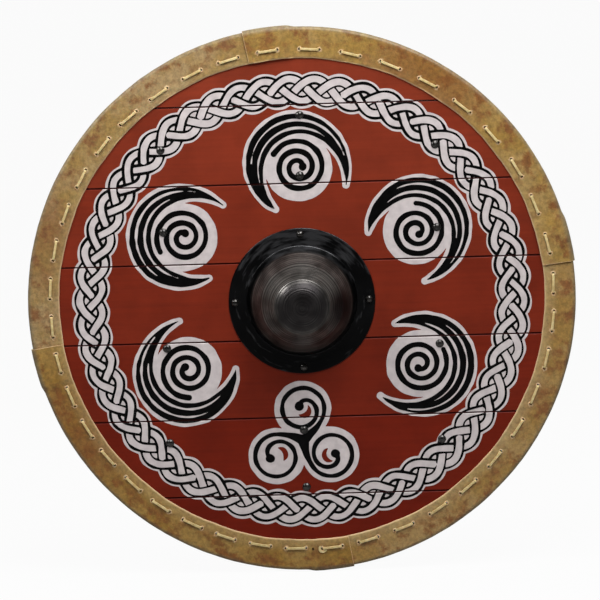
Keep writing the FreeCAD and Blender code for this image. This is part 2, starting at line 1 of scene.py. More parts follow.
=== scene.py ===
# A round plank shield, upright: seven painted boards, a spun steel boss and a rawhide rim sewn on
# with thong. Sizes are in millimetres unless a comment says otherwise, and MM turns them to metres.
import math
from collections import namedtuple
import bmesh
import bpy
import numpy as np
from mathutils import Matrix, Vector, geometry, noise


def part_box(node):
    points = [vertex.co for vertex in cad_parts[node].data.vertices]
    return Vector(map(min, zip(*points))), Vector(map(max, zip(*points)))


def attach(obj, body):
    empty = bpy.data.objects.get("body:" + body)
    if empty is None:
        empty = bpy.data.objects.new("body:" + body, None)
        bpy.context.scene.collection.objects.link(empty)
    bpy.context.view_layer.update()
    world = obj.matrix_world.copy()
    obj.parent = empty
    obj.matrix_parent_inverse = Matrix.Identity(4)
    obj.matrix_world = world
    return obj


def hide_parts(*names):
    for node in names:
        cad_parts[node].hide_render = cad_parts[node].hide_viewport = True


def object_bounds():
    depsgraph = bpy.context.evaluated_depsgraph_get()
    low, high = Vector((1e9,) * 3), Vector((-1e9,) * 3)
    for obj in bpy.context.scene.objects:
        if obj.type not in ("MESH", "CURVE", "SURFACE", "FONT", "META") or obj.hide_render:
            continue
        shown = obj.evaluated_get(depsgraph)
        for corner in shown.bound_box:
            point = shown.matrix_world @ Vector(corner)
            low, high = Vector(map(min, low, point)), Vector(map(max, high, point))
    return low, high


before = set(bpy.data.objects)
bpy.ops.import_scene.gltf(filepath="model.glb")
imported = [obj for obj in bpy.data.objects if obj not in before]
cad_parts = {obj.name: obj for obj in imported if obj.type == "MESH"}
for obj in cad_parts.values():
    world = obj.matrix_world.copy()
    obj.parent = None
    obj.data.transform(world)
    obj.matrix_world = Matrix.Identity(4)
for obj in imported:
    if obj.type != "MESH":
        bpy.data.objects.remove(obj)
cad_box = [list(corner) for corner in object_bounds()]
MM = 0.001


# Camera: a long lens about 5.3 m away, straight in front of the shield and a little above it. The
# shield hung slightly askew before it, so the camera is rolled instead and the shield stays upright.
CAMERA_DISTANCE = 5295
CAMERA_TILT = math.radians(7.436)
CAMERA_ROLL = math.radians(-1.638)
PHOTO_PIXELS = 600
FOCAL_PIXELS = 3801.2
# How far right of and above the picture's middle the shield's middle lies, in pixels.
AIM_RIGHT = 1.976
AIM_UP = 1.392

lens = bpy.data.cameras.new("photo_lens")
lens.sensor_width = 36
lens.lens = FOCAL_PIXELS / PHOTO_PIXELS * lens.sensor_width
lens.shift_x = -AIM_RIGHT / PHOTO_PIXELS
lens.shift_y = -AIM_UP / PHOTO_PIXELS
lens.clip_end = 200
camera = bpy.data.objects.new("photo_camera", lens)
bpy.context.scene.collection.objects.link(camera)
stand = Vector((0, -math.cos(CAMERA_TILT), math.sin(CAMERA_TILT))) * CAMERA_DISTANCE * MM
turn = Matrix.Rotation(math.pi / 2 - CAMERA_TILT, 4, "X") @ Matrix.Rotation(CAMERA_ROLL, 4, "Z")
camera.matrix_world = Matrix.Translation(stand) @ turn
bpy.context.scene.camera = camera
bpy.context.scene.view_settings.view_transform = "Standard"


# Studio: a wide pale floor and a white backdrop, one broad soft lamp high in front of the shield,
# which lights its top most, a smaller one on the left, and the room's own soft light.
def linear(colour):
    """A colour written as an sRGB hex string, as linear red, green, blue and alpha."""
    parts = [int(colour[index:index + 2], 16) / 255 for index in (1, 3, 5)]
    return [part / 12.92 if part <= 0.04045 else ((part + 0.055) / 1.055) ** 2.4
            for part in parts] + [1]


def add_node(tree, kind, inputs=None, **settings):
    """Adds a node with its settings. An input is given a value, a node's first output in use, or a
    pair of a node and one of its outputs. It is named, or counted from 0: of Map Range, 1 and 2 are
    the range that comes in and 3 and 4 the one that goes out, of a colour Mix, 0 is the share and 6
    and 7 are the colours, and of Mapping, 3 is the scale."""
    node = tree.nodes.new(kind)
    for name, setting in settings.items():
        setattr(node, name, setting)
    for key, given in (inputs or {}).items():
        if isinstance(given, bpy.types.Node):
            given = next(output for output in given.outputs if output.enabled)
        elif isinstance(given, tuple) and isinstance(given[0], bpy.types.Node):
            given = given[0].outputs[given[1]]
        if isinstance(given, bpy.types.NodeSocket):
            tree.links.new(given, node.inputs[key])
        else:
            node.inputs[key].default_value = given
    return node


def new_material(name):
    """An empty node material and its tree."""
    material = bpy.data.materials.new(name)
    material.use_nodes = True
    material.node_tree.nodes.clear()
    return material, material.node_tree


def new_piece(name, mesh, material=None):
    """A mesh as an object at the origin, with one material."""
    piece = bpy.data.objects.new(name, mesh)
    bpy.context.scene.collection.objects.link(piece)
    if material:
        mesh.materials.append(material)
    return piece


def studio_floor():
    """Matt white floor paper: to the camera mostly its own white, so that only shadows show on it."""
    material, tree = new_material("floor_paper_matt")
    ray = add_node(tree, "ShaderNodeLightPath")
    paper = add_node(tree, "ShaderNodeBsdfDiffuse", {"Color": linear("#A8A8A8")})
    white = add_node(tree, "ShaderNodeEmission", {"Strength": 1})
    seen = add_node(tree, "ShaderNodeMath", {0: (ray, "Is Camera Ray"), 1: 0.955}, operation="MULTIPLY")
    mix = add_node(tree, "ShaderNodeMixShader", {0: seen, 1: paper, 2: white})
    add_node(tree, "ShaderNodeOutputMaterial", {"Surface": mix})
    return material


# half the floor's width, in metres
FLOOR_HALF = 30
floor_height = cad_box[0][2]
floor_mesh = bpy.data.meshes.new("floor")
floor_mesh.from_pydata([(FLOOR_HALF * side, FLOOR_HALF * way, floor_height)
                        for side, way in ((-1, -1), (1, -1), (1, 1), (-1, 1))], [], [(0, 1, 2, 3)])
new_piece("floor", floor_mesh, studio_floor())


def studio_room():
    """The room: a white backdrop behind the shield, a pale ceiling and a dim side towards the camera.
    The camera sees white all round."""
    world = bpy.data.worlds.new("studio_room")
    world.use_nodes = True
    room = world.node_tree
    room.nodes.clear()
    way = add_node(room, "ShaderNodeTexCoord")
    axes = add_node(room, "ShaderNodeSeparateXYZ", {0: (way, "Generated")})
    behind = add_node(room, "ShaderNodeMapRange", {0: (axes, "Y"), 1: -0.1, 2: 0.5})
    above = add_node(room, "ShaderNodeMapRange", {0: (axes, "Z"), 1: 0.2, 2: 0.9})
    backdrop = add_node(room, "ShaderNodeMapRange", {0: behind, 3: 0.04, 4: 0.5})
    ceiling = add_node(room, "ShaderNodeMapRange", {0: above, 3: 0.04, 4: 0.16})
    strength = add_node(room, "ShaderNodeMath", {0: backdrop, 1: ceiling}, operation="MAXIMUM")
    ray = add_node(room, "ShaderNodeLightPath")
    mirrored = add_node(room, "ShaderNodeMath", {0: (ray, "Is Glossy Ray"), 1: behind},
                        operation="MULTIPLY")
    through = add_node(room, "ShaderNodeMath", {0: (ray, "Is Transmission Ray"), 1: mirrored},
                       operation="MAXIMUM")
    direct = add_node(room, "ShaderNodeMath", {0: (ray, "Is Camera Ray"), 1: through},
                      operation="MAXIMUM")
    dim = add_node(room, "ShaderNodeBackground", {"Color": linear("#FFFFFF"), "Strength": strength})
    white = add_node(room, "ShaderNodeBackground", {"Color": linear("#FFFFFF"), "Strength": 1})
    add_node(room, "ShaderNodeOutputWorld",
             {"Surface": add_node(room, "ShaderNodeMixShader", {0: direct, 1: dim, 2: white})})
    return world


bpy.context.scene.world = studio_room()


def lamp(name, place, aim, width, power):
    """A square soft lamp, its place and aim in metres and its power in watts."""
    data = bpy.data.lights.new(name, "AREA")
    data.size = width
    data.energy = power
    item = bpy.data.objects.new(name, data)
    bpy.context.scene.collection.objects.link(item)
    item.location = place
    item.rotation_euler = (Vector(aim) - Vector(place)).to_track_quat("-Z", "Y").to_euler()


lamp("high_lamp", (0.46, -0.92, 1.75), (0.03, 0, 0.0), 1.25, 61)
lamp("left_lamp", (-1.05, -0.55, 0.92), (0, 0, 0.02), 0.3, 10)


# Boards: seven pine planks, planed and glued edge to edge, brushed on the front with one thick coat
# of red-brown paint that runs over the chamfers. Their rear is bare wood.
PLANK_FRONT = -23.0
PLANK_PITCH = 109.1
PLANK_GAP = 0.7
PLANK_CHAMFER = 1.2
# the red paint that ran over the edges ends this far behind the front, and fades over twice this
PAINT_END = 2.0
PAINT_FADE = 0.4
# the joints are darkest this far from their middle
JOINT_DARK_REACH = 0.8


def painted_pine():
    """Pine, brush painted: half-gloss red with faint strokes along the boards, bare and matt behind."""
    material, tree = new_material("pine_boards_brush_painted")
    where = add_node(tree, "ShaderNodeTexCoord")
    axes = add_node(tree, "ShaderNodeSeparateXYZ", {0: (where, "Object")})
    # every board has its own strokes and grain
    board = add_node(tree, "ShaderNodeMath", {0: (axes, "Z"), 1: PLANK_PITCH * MM}, operation="DIVIDE")
    board_number = add_node(tree, "ShaderNodeMath", {0: board}, operation="ROUND")
    # brush strokes about 5 mm wide and 150 mm long
    stroke_space = add_node(tree, "ShaderNodeMapping", {0: (where, "Object"), 3: (7, 30, 190)})
    strokes = add_node(tree, "ShaderNodeTexNoise", {
        0: stroke_space, "W": board_number, "Scale": 1, "Detail": 5, "Roughness": 0.6},
        noise_dimensions="4D")
    # uneven cover, in clouds about 60 mm across
    clouds = add_node(tree, "ShaderNodeTexNoise", {0: (where, "Object"), "Scale": 16, "Detail": 6,
                                                   "Roughness": 0.6})
    stroke_mask = add_node(tree, "ShaderNodeMapRange", {0: strokes, 1: 0.36, 2: 0.66})
    cloud_mask = add_node(tree, "ShaderNodeMapRange", {0: clouds, 1: 0.38, 2: 0.64})
    # the red is lighter board by board towards the top: painted light for the lamp high above the shield
    painted_top_light = add_node(tree, "ShaderNodeMapRange", {0: board_number, 1: -2.6, 2: 3})
    red = add_node(tree, "ShaderNodeMix", {0: painted_top_light, 6: linear("#661706"), 7: linear("#7C301D")},
                   data_type="RGBA")
    cover = add_node(tree, "ShaderNodeMapRange", {0: cloud_mask, 3: 0.87, 4: 1.09})
    drag = add_node(tree, "ShaderNodeMapRange", {0: stroke_mask, 3: 1.03, 4: 0.9})
    uneven = add_node(tree, "ShaderNodeMath", {0: cover, 1: drag}, operation="MULTIPLY")
    stroked = add_node(tree, "ShaderNodeMix", {0: 1.0, 6: red, 7: uneven},
                       data_type="RGBA", blend_type="MULTIPLY")
    # the bare rear: growth rings as dark bands along the board, about 7 mm apart
    ring_space = add_node(tree, "ShaderNodeMapping", {0: (where, "Object"), 3: (3, 60, 140)})
    rings = add_node(tree, "ShaderNodeTexNoise", {
        0: ring_space, "W": board_number, "Scale": 1, "Detail": 6, "Distortion": 0.4},
        noise_dimensions="4D")
    fibre_space = add_node(tree, "ShaderNodeMapping", {0: (where, "Object"), 3: (18, 300, 1500)})
    fibres = add_node(tree, "ShaderNodeTexNoise", {0: fibre_space, "Scale": 1, "Detail": 3})
    ring_mask = add_node(tree, "ShaderNodeMapRange", {0: rings, 1: 0.42, 2: 0.6})
    wood = add_node(tree, "ShaderNodeMix", {0: ring_mask, 6: linear("#C29A66"), 7: linear("#A0713F")},
                    data_type="RGBA")
    fibre_mask = add_node(tree, "ShaderNodeMapRange", {0: fibres, 1: 0.3, 2: 0.7, 3: 0.82, 4: 1.06})
    # some boards are darker than others
    own_tone = add_node(tree, "ShaderNodeTexWhiteNoise", {"W": board_number}, noise_dimensions="1D")
    board_tone = add_node(tree, "ShaderNodeMapRange", {0: own_tone, 3: 0.78, 4: 1.06})
    wood_tone = add_node(tree, "ShaderNodeMath", {0: fibre_mask, 1: board_tone}, operation="MULTIPLY")
    grained = add_node(tree, "ShaderNodeMix", {0: 1.0, 6: wood, 7: wood_tone},
                       data_type="RGBA", blend_type="MULTIPLY")
    # painted shade: the chamfers that face down are darker, out of the light from above
    facing = add_node(tree, "ShaderNodeNewGeometry")
    facing_axes = add_node(tree, "ShaderNodeSeparateXYZ", {0: (facing, "True Normal")})
    downward = add_node(tree, "ShaderNodeMapRange", {0: (facing_axes, "Z"), 1: -0.4, 2: -0.6})
    shaded_below = add_node(tree, "ShaderNodeMix", {0: downward, 6: stroked, 7: linear("#3C0602")},
                      data_type="RGBA")
    bare = add_node(tree, "ShaderNodeMapRange", {
        0: (axes, "Y"), 1: (PLANK_FRONT + PAINT_END - PAINT_FADE) * MM,
        2: (PLANK_FRONT + PAINT_END + PAINT_FADE) * MM})
    coated = add_node(tree, "ShaderNodeMix", {0: bare, 6: shaded_below, 7: grained},
                      data_type="RGBA")
    # the joints are darker: deep red where the paint ran in, dark brown where bare
    off_middle = add_node(tree, "ShaderNodeMath", {0: board, 1: board_number}, operation="SUBTRACT")
    off_centre = add_node(tree, "ShaderNodeMath", {0: off_middle}, operation="ABSOLUTE")
    in_joint = add_node(tree, "ShaderNodeMapRange", {
        0: off_centre, 1: 0.5 - PLANK_CHAMFER / PLANK_PITCH, 2: 0.5 - JOINT_DARK_REACH / PLANK_PITCH})
    joint_dark = add_node(tree, "ShaderNodeMix", {0: bare, 6: linear("#3C0602"), 7: linear("#1E0A06")},
                     data_type="RGBA")
    colour = add_node(tree, "ShaderNodeMix", {0: in_joint, 6: coated, 7: joint_dark},
                      data_type="RGBA")
    shine = add_node(tree, "ShaderNodeMapRange", {0: bare, 3: 0.4, 4: 0.68})
    shine_change = add_node(tree, "ShaderNodeMapRange", {0: stroke_mask, 3: -0.05, 4: 0.07})
    painted_rough = add_node(tree, "ShaderNodeMath", {0: shine, 1: shine_change}, operation="ADD")
    rough = add_node(tree, "ShaderNodeMath", {0: in_joint, 1: 0.55, 2: painted_rough},
                     operation="MULTIPLY_ADD")
    relief = add_node(tree, "ShaderNodeMath", {0: strokes, 1: fibres}, operation="ADD")
    bump = add_node(tree, "ShaderNodeBump", {"Height": relief, "Distance": 0.25 * MM, "Strength": 0.5})
    surface = add_node(tree, "ShaderNodeBsdfPrincipled", {
        "Base Color": colour, "Roughness": rough, "Normal": bump, "Specular IOR Level": 0.12})
    add_node(tree, "ShaderNodeOutputMaterial", {"Surface": surface})
    return material


def dress(nodes, material):
    """Gives carried-over pieces their finish."""
    for name in nodes:
        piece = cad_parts[name]
        piece.data.materials.clear()
        piece.data.materials.append(material)


PLANKS = ("plank_1", "plank_2", "plank_3", "plank_4_left", "plank_4_right", "plank_5", "plank_6",
          "plank_7")
dress(PLANKS, painted_pine())


# Painted ornament: white laid over the red, black over the white, by hand with a soft brush. A ring
# of three-strand plait runs inside the rim, five spiral roundels in leaves and a triple spiral
# stand round the boss. Each coat is a thin closed film that follows the boards' chamfers.
# the ornament is drawn in square fields: their half width and step, how far beside a stroke they
# are worked out, and their value where there is no paint
FIELD_HALF = 326
FIELD_STEP = 1.0
BRUSH_REACH = 12
FAR = 40.0
field_axis = np.arange(-FIELD_HALF, FIELD_HALF + FIELD_STEP / 2, FIELD_STEP)


def empty_field():
    return np.full((len(field_axis), len(field_axis)), FAR)


def brush(field, points, half_widths):
    """Lays a stroke along a line of points: the field falls below zero under the stroke."""
    points = np.asarray(points, float)
    widths = np.broadcast_to(np.asarray(half_widths, float), len(points))
    for start, stop, wide, next_wide in zip(points[:-1], points[1:], widths[:-1], widths[1:]):
        reach = BRUSH_REACH + max(wide, next_wide)
        low = np.minimum(start, stop) - reach
        high = np.maximum(start, stop) + reach
        left, bottom = np.maximum(((low + FIELD_HALF) / FIELD_STEP).astype(int), 0)
        right, top = ((high + FIELD_HALF) / FIELD_STEP).astype(int) + 2
        across = field_axis[left:right][None, :] - start[0]
        up = field_axis[bottom:top][:, None] - start[1]
        run = stop - start
        share = np.clip((across * run[0] + up * run[1]) / (run @ run + 1e-9), 0, 1)
        gap = np.hypot(across - share * run[0], up - share * run[1])
        window = field[bottom:top, left:right]
        np.minimum(window, gap - (wide + (next_wide - wide) * share), out=window)
    return field


def around(radius, angle, centre=(0, 0)):
    """Points at a distance and an angle, in degrees clockwise from the top, round a centre."""
    turned = np.radians(angle)
    return np.stack([centre[0] + radius * np.sin(turned), centre[1] + radius * np.cos(turned)], -1)


def headings(line):
    """The direction of a line at each of its points, one unit long."""
    along = np.gradient(line, axis=0)
    return along / np.linalg.norm(along, axis=1)[:, None]


def roundel(centre, radius):
    return np.hypot(field_axis[None, :] - centre[0], field_axis[:, None] - centre[1]) - radius


class Ornament:
    """Two fields: everything painted, and the black on top of it."""

    def __init__(self):
        self.white = empty_field()
        self.black = empty_field()

    def lay_white(self, shape):
        self.white = np.minimum(self.white, shape)
        self.black = np.maximum(self.black, -shape)

    def lay_black(self, shape, margin=0.0):
        self.white = np.minimum(self.white, shape - margin)
        self.black = np.minimum(self.black, shape)

    def lay_bare(self, shape):
        self.white = np.maximum(self.white, -shape)


def plait(design):
    """The ring of three strands, each crossing over one neighbour and under the other in turn."""
    middle = 293
    swing = 15.5
    lobes = 18
    steps = 96
    half_strand = 4.3
    edge = 3.3
    white_border = 2.9
    # how many steps a crossing's black edging and its white strand reach to either side
    edging_reach = 3
    strand_reach = 8
    angles = np.linspace(0, 360, lobes * steps + 1)
    strands = [middle + swing * np.sin(np.radians(angles) * lobes + 2 * np.pi * number / 3 + 0.01)
               for number in range(3)]
    edging = empty_field()
    ribbons = empty_field()
    for strand in strands:
        brush(edging, around(strand, angles)[::2], half_strand + edge)
        brush(ribbons, around(strand, angles)[::2], half_strand)
    design.lay_black(edging, white_border)
    design.lay_white(ribbons)
    for first, second in ((0, 1), (0, 2), (1, 2)):
        apart = strands[first] - strands[second]
        for place in np.where(np.sign(apart[:-1]) != np.sign(apart[1:]))[0]:
            outside = strands[first][place] + strands[second][place] > 2 * middle
            rising = strands[first][place + 1] > strands[first][place]
            over = strands[first if rising == outside else second]
            spans = [np.arange(place - reach, place + reach + 2) % (len(angles) - 1)
                     for reach in (edging_reach, strand_reach)]
            bridges = [around(over[span], angles[span]) for span in spans]
            design.black = np.minimum(
                design.black, brush(empty_field(), bridges[0], half_strand + edge))
            design.lay_white(brush(empty_field(), bridges[1], half_strand))


def spiral(centre, start, turns, outer, inner):
    """A line that winds clockwise from the outer radius to the inner one."""
    share = np.linspace(0, 1, 120)
    return around(outer + (inner - outer) * share, start + 360 * turns * share, centre)


def leafed_roundel(design, angle):
    """A white roundel with a black spiral, held in a black leaf with two white veins."""
    off_middle = 186
    radius = 47
    leaf_off = 60.5
    leaf_half = 15
    leaf_border = 4.5
    spiral_turns = 2.4
    spiral_outer = 38.5
    spiral_inner = 6
    line_half = 3.8
    eye_radius = 5.5
    centre = around(off_middle, angle)
    design.lay_white(roundel(centre, radius))
    turn = np.linspace(-150, 112, 120)
    share = np.linspace(0, 1, 120)
    # the leaf goes from 150 degrees before its roundel's angle to 112 beyond, and its tip and its
    # tail swing out
    tip = 10 * np.clip((turn - 40) / 72, 0, 1) ** 2
    tail = 6 * np.clip((-100 - turn) / 50, 0, 1) ** 1.5
    spine = around(leaf_off + tip + tail, angle + turn, centre)
    half = np.maximum(leaf_half * np.sin(np.pi * share ** 0.9) ** 0.85, 0.4)
    design.lay_black(brush(empty_field(), spine, half), leaf_border)
    along = headings(spine)
    side = np.stack([-along[:, 1], along[:, 0]], -1)
    # each vein's place across the leaf, as a share of its half width, and its first and last point
    for offset, first, last in ((-0.42, 18, 88), (0.36, 30, 104)):
        vein = (spine + side * (half * offset)[:, None])[first:last]
        swell = 1.6 * np.sin(np.pi * np.linspace(0.04, 0.96, last - first)) ** 0.6
        design.lay_white(brush(empty_field(), vein, swell))
    line = spiral(centre, angle - 60, spiral_turns, spiral_outer, spiral_inner)
    stroke = brush(empty_field(), line, line_half)
    design.lay_black(brush(stroke, line[-2:], eye_radius))


def triple_spiral(design, centre):
    """Three arms that wind anticlockwise out of a black hub, each on a white roundel, with a crescent
    of bare red beside its end."""
    hub_radius = 14
    lobe_off = 43.3
    lobe_radius = 39.8
    arm_outer = 30.3
    arm_half = 3.1
    hub_flare = 4.6
    eye_radius = 6.2
    crescent_radius = 10
    # of each arm: its roundel's angle, its sweep in degrees, the radius where it ends, and how far
    # from its end the crescent stands
    arms = ((0, 525, 6.3, 9.5), (120, 525, 6.3, 9.5), (240, 470, 9.5, 16))
    design.lay_white(roundel(centre, hub_radius))
    middles = [around(lobe_off, arm[0], centre) for arm in arms]
    for middle in middles:
        design.lay_white(roundel(middle, lobe_radius))
    for middle, (lobe, sweep, inner, crescent_off) in zip(middles, arms):
        share = np.linspace(0, 1, 140)
        # the line keeps its radius for 30 degrees and then winds in
        wound = np.clip((sweep * share - 30) / (sweep - 30), 0, 1)
        line = around(arm_outer - (arm_outer - inner) * wound ** 2.5, lobe + 120 - sweep * share, middle)
        # the arm leaves the hub and bends into its first turn
        ahead = line[0] + (line[0] - line[1]) / np.linalg.norm(line[0] - line[1]) * 16
        bend = np.linspace(0, 1, 20)[:, None]
        arm = (1 - bend) ** 2 * centre + 2 * bend * (1 - bend) * ahead + bend ** 2 * line[0]
        stroke = brush(empty_field(), arm, arm_half + hub_flare * (1 - bend[:, 0]) ** 1.8)
        design.lay_black(brush(brush(stroke, line, arm_half), line[-2:], eye_radius))
        to_middle = (middle - line[-1]) / np.linalg.norm(middle - line[-1])
        crescent = np.maximum(roundel(line[-1] + to_middle * crescent_off, crescent_radius),
                              -roundel(line[-1], crescent_off + 2))
        design.lay_bare(crescent)


def unsteady(field, seed):
    """Moves the edges in and out by up to half a millimetre, as a hand-held brush does."""
    source = np.random.default_rng(seed)
    across, up = np.meshgrid(field_axis, field_axis)
    sway = np.zeros_like(field)
    for period in (170, 90, 60, 38, 24, 17):
        for direction in source.uniform(0, math.pi, 3):
            phase = source.uniform(0, 2 * math.pi)
            sway += np.sin((across * math.cos(direction) + up * math.sin(direction))
                           * 2 * math.pi / period + phase)
    return field + np.clip(sway * 0.12, -0.5, 0.5)


# The two sides of a grid cell that a line crosses, for each pattern of its four corners, so that
# the painted side stays on the left: bottom, right, top and left are 0 to 3.
CROSSINGS = {1: ((0, 3),), 2: ((1, 0),), 3: ((1, 3),), 4: ((2, 1),), 5: ((0, 3), (2, 1)),
             6: ((2, 0),), 7: ((2, 3),), 8: ((3, 2),), 9: ((0, 2),), 10: ((1, 0), (3, 2)),
             11: ((1, 2),), 12: ((3, 1),), 13: ((0, 1),), 14: ((3, 0),)}


def edge_loops(field):
    """The closed lines where a field is zero, as lists of points."""
    inside = field < 0
    code = (inside[:-1, :-1] * 1 + inside[:-1, 1:] * 2 + inside[1:, 1:] * 4 + inside[1:, :-1] * 8)
    following = {}
    for row, column in zip(*np.where((code > 0) & (code < 15))):
        sides = ((0, row, column), (1, row, column + 1), (0, row + 1, column), (1, row, column))
        for start, stop in CROSSINGS[int(code[row, column])]:
            following[sides[start]] = sides[stop]
    loops = []
    while following:
        first, key = following.popitem()
        loop = [first]
        while key != first:
            loop.append(key)
            key = following.pop(key)
        points = []
        for upright, row, column in loop:
            one = field[row, column]
            other = field[row + upright, column + 1 - upright]
            share = one / (one - other)
            points.append((field_axis[column] + FIELD_STEP * share * (1 - upright),
                           field_axis[row] + FIELD_STEP * share * upright))
        loops.append(np.array(points))
    return loops


def thinned(points):
    """Leaves out every other point of a loop where the line is straight there."""
    for repeat in range(2):
        if len(points) < 12:
            return points
        before = np.roll(points, 1, 0)
        after = np.roll(points, -1, 0)
        chord = after - before
        bend = np.abs(chord[:, 0] * (points - before)[:, 1] - chord[:, 1] * (points - before)[:, 0])
        bend /= np.linalg.norm(chord, axis=1) + 1e-9
        keep = (bend > 0.03) | (np.arange(len(points)) % 2 == 0)
        points = points[keep]
    return points


def film(name, field, thickness, material):
    """A closed coat of paint: the field's area, parted at the joints and laid over the chamfers."""
    joints = np.array([PLANK_PITCH * (number - 2.5) for number in range(6)])
    half_gap = PLANK_GAP / 2
    # the coats stop short of the inner part of the chamfers, more of the ones that face down, so that the
    # darker joints and the boards' painted shade show through
    bare_under = half_gap + PLANK_CHAMFER * 0.35
    bare_over = half_gap + PLANK_CHAMFER * 0.75
    points = []
    edges = []
    for loop in edge_loops(field):
        loop = thinned(loop)
        if len(loop) < 6:
            continue
        first, count = len(points), len(loop)
        points += [Vector(point) for point in loop]
        edges += [(first + index, first + (index + 1) % count) for index in range(count)]
    for joint in joints:
        for offset in (-half_gap - PLANK_CHAMFER, -bare_under, bare_over, half_gap + PLANK_CHAMFER):
            edges.append((len(points), len(points) + 1))
            points += [Vector((side * FIELD_HALF, joint + offset)) for side in (-1, 1)]
    spots, _, triangles, *_ = geometry.delaunay_2d_cdt(points, edges, [], 0, 1e-4)
    spots = np.array(spots)
    triangles = np.array(triangles)
    middles = spots[triangles].mean(1)
    column, row = ((middles + FIELD_HALF) / FIELD_STEP).T
    left, bottom = (np.clip(place.astype(int), 0, len(field) - 2) for place in (column, row))
    right_share = column - left
    top_share = row - bottom
    below, above = (field[line, left] * (1 - right_share) + field[line, left + 1] * right_share
                    for line in (bottom, bottom + 1))
    value = below * (1 - top_share) + above * top_share
    from_joint = middles[:, 1][:, None] - joints
    in_joint = ((from_joint > -bare_under) & (from_joint < bare_over)).any(1)
    triangles = triangles[(value < 0) & ~in_joint]
    apart = np.abs(spots[:, 1][:, None] - joints).min(1) - half_gap
    depth = PLANK_FRONT + np.clip(PLANK_CHAMFER - apart, 0, PLANK_CHAMFER)
    mesh = bpy.data.meshes.new(name)
    mesh.from_pydata(np.column_stack([spots[:, 0], depth, spots[:, 1]]) * MM, [], triangles.tolist())
    sheet = bmesh.new()
    sheet.from_mesh(mesh)
    loose = [vertex for vertex in sheet.verts if not vertex.link_faces]
    bmesh.ops.delete(sheet, geom=loose, context="VERTS")
    coat = bmesh.ops.extrude_face_region(sheet, geom=sheet.faces[:])
    for item in coat["geom"]:
        if isinstance(item, bmesh.types.BMVert):
            item.co.y -= thickness * MM
    bmesh.ops.recalc_face_normals(sheet, faces=sheet.faces[:])
    sheet.to_mesh(mesh)
    sheet.free()
    return new_piece(name, mesh, material)


def brushed_paint(name, colour, shade, gloss, shine):
    """Oil paint laid with a soft brush: half gloss, slightly uneven in cover and height. The gloss is
    given as its roughness and the shine as its specular level."""
    material, tree = new_material(name)
    where = add_node(tree, "ShaderNodeTexCoord")
    # unevenness about 12 mm across, and strokes about 2 mm wide along the boards
    clouds = add_node(tree, "ShaderNodeTexNoise", {0: (where, "Object"), "Scale": 85, "Detail": 4})
    stroke_space = add_node(tree, "ShaderNodeMapping", {0: (where, "Object"), 3: (30, 60, 420)})
    strokes = add_node(tree, "ShaderNodeTexNoise", {0: stroke_space, "Scale": 1, "Detail": 3})
    cover = add_node(tree, "ShaderNodeMapRange", {0: clouds, 1: 0.35, 2: 0.68})
    tint = add_node(tree, "ShaderNodeMix", {0: cover, 6: linear(colour), 7: linear(shade)},
                    data_type="RGBA")
    relief = add_node(tree, "ShaderNodeMath", {0: strokes, 1: clouds}, operation="ADD")
    bump = add_node(tree, "ShaderNodeBump", {"Height": relief, "Distance": 0.2 * MM, "Strength": 0.5})
    surface = add_node(tree, "ShaderNodeBsdfPrincipled", {
        "Base Color": tint, "Roughness": gloss, "Normal": bump,
        "Specular IOR Level": shine})
    add_node(tree, "ShaderNodeOutputMaterial", {"Surface": surface})
    return material


# how thick the two coats are
WHITE_COAT = 0.16
BLACK_COAT = 0.26
design = Ornament()
plait(design)
for angle in (0, 60, 120, 240, 300):
    leafed_roundel(design, angle)
triple_spiral(design, np.array([-3.6, -195.5]))
white_coat = film("white_paint", unsteady(design.white, 3), WHITE_COAT,
                  brushed_paint("oil_paint_white", "#C6BDBC", "#B5ACAC", 0.4, 0.2))
black_coat = film("black_paint", unsteady(design.black, 4), BLACK_COAT,
                  brushed_paint("oil_paint_black", "#040404", "#090909", 0.36, 0.06))
for coat in (white_coat, black_coat):
    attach(coat, "root")


# Boss: a disc of mild steel spun over a former into a stepped dome with a rounded crown, then
# blackened. The spinner's roller leaves fine rings on the dome, and the flange is almost black.
BOSS_FLANGE = 101.7
BOSS_WALL = 1.6
# the inner side's corners, as (radius, height, rounding), and the step between its points
BOSS_LINE = ((BOSS_FLANGE, 0, 0), (75.5, 0, 3.5), (69, 17.0, 4), (55, 41.0, 45), (37, 64.0, 5),
             (22, 77, 38), (0, 77, 0))
BOSS_STEP = 0.6
BOSS_FILED = 0.6
# the roller's rings start at the dome's foot and run in two rhythms
DOME_FOOT = 70
RING_DEPTH = 0.06
RING_STEPS = (4.3, 2.7)


def rounded_line(corners, step):
    """A line through corners of (radius, height, rounding), with points a step apart on its arcs."""
    points = []
    for index, (radius, height, rounding) in enumerate(corners):
        corner = np.array([radius, height], float)
        if not rounding:
            points.append(corner)
            continue
        back = np.array(corners[index - 1][:2]) - corner
        ahead = np.array(corners[index + 1][:2]) - corner
        back /= np.linalg.norm(back)
        ahead /= np.linalg.norm(ahead)
        half_angle = math.acos(back @ ahead) / 2
        trim = rounding / math.tan(half_angle)
        centre = corner + (back + ahead) / np.linalg.norm(back + ahead) * rounding / math.sin(half_angle)
        start = corner + back * trim - centre
        sweep = math.pi - 2 * half_angle
        sign = 1 if start[0] * ahead[1] - start[1] * ahead[0] > 0 else -1
        count = max(int(rounding * sweep / step), 3)
        for number in range(count + 1):
            angle = sign * sweep * number / count
            points.append(centre + np.array([
                start[0] * math.cos(angle) - start[1] * math.sin(angle),
                start[0] * math.sin(angle) + start[1] * math.cos(angle)]))
    return np.array(points)


def evenly(points, step):
    """The same line with points a step apart."""
    lengths = np.concatenate([[0], np.cumsum(np.linalg.norm(np.diff(points, axis=0), axis=1))])
    places = np.linspace(0, lengths[-1], int(lengths[-1] / step) + 1)
    return np.stack([np.interp(places, lengths, points[:, axis]) for axis in (0, 1)], -1)


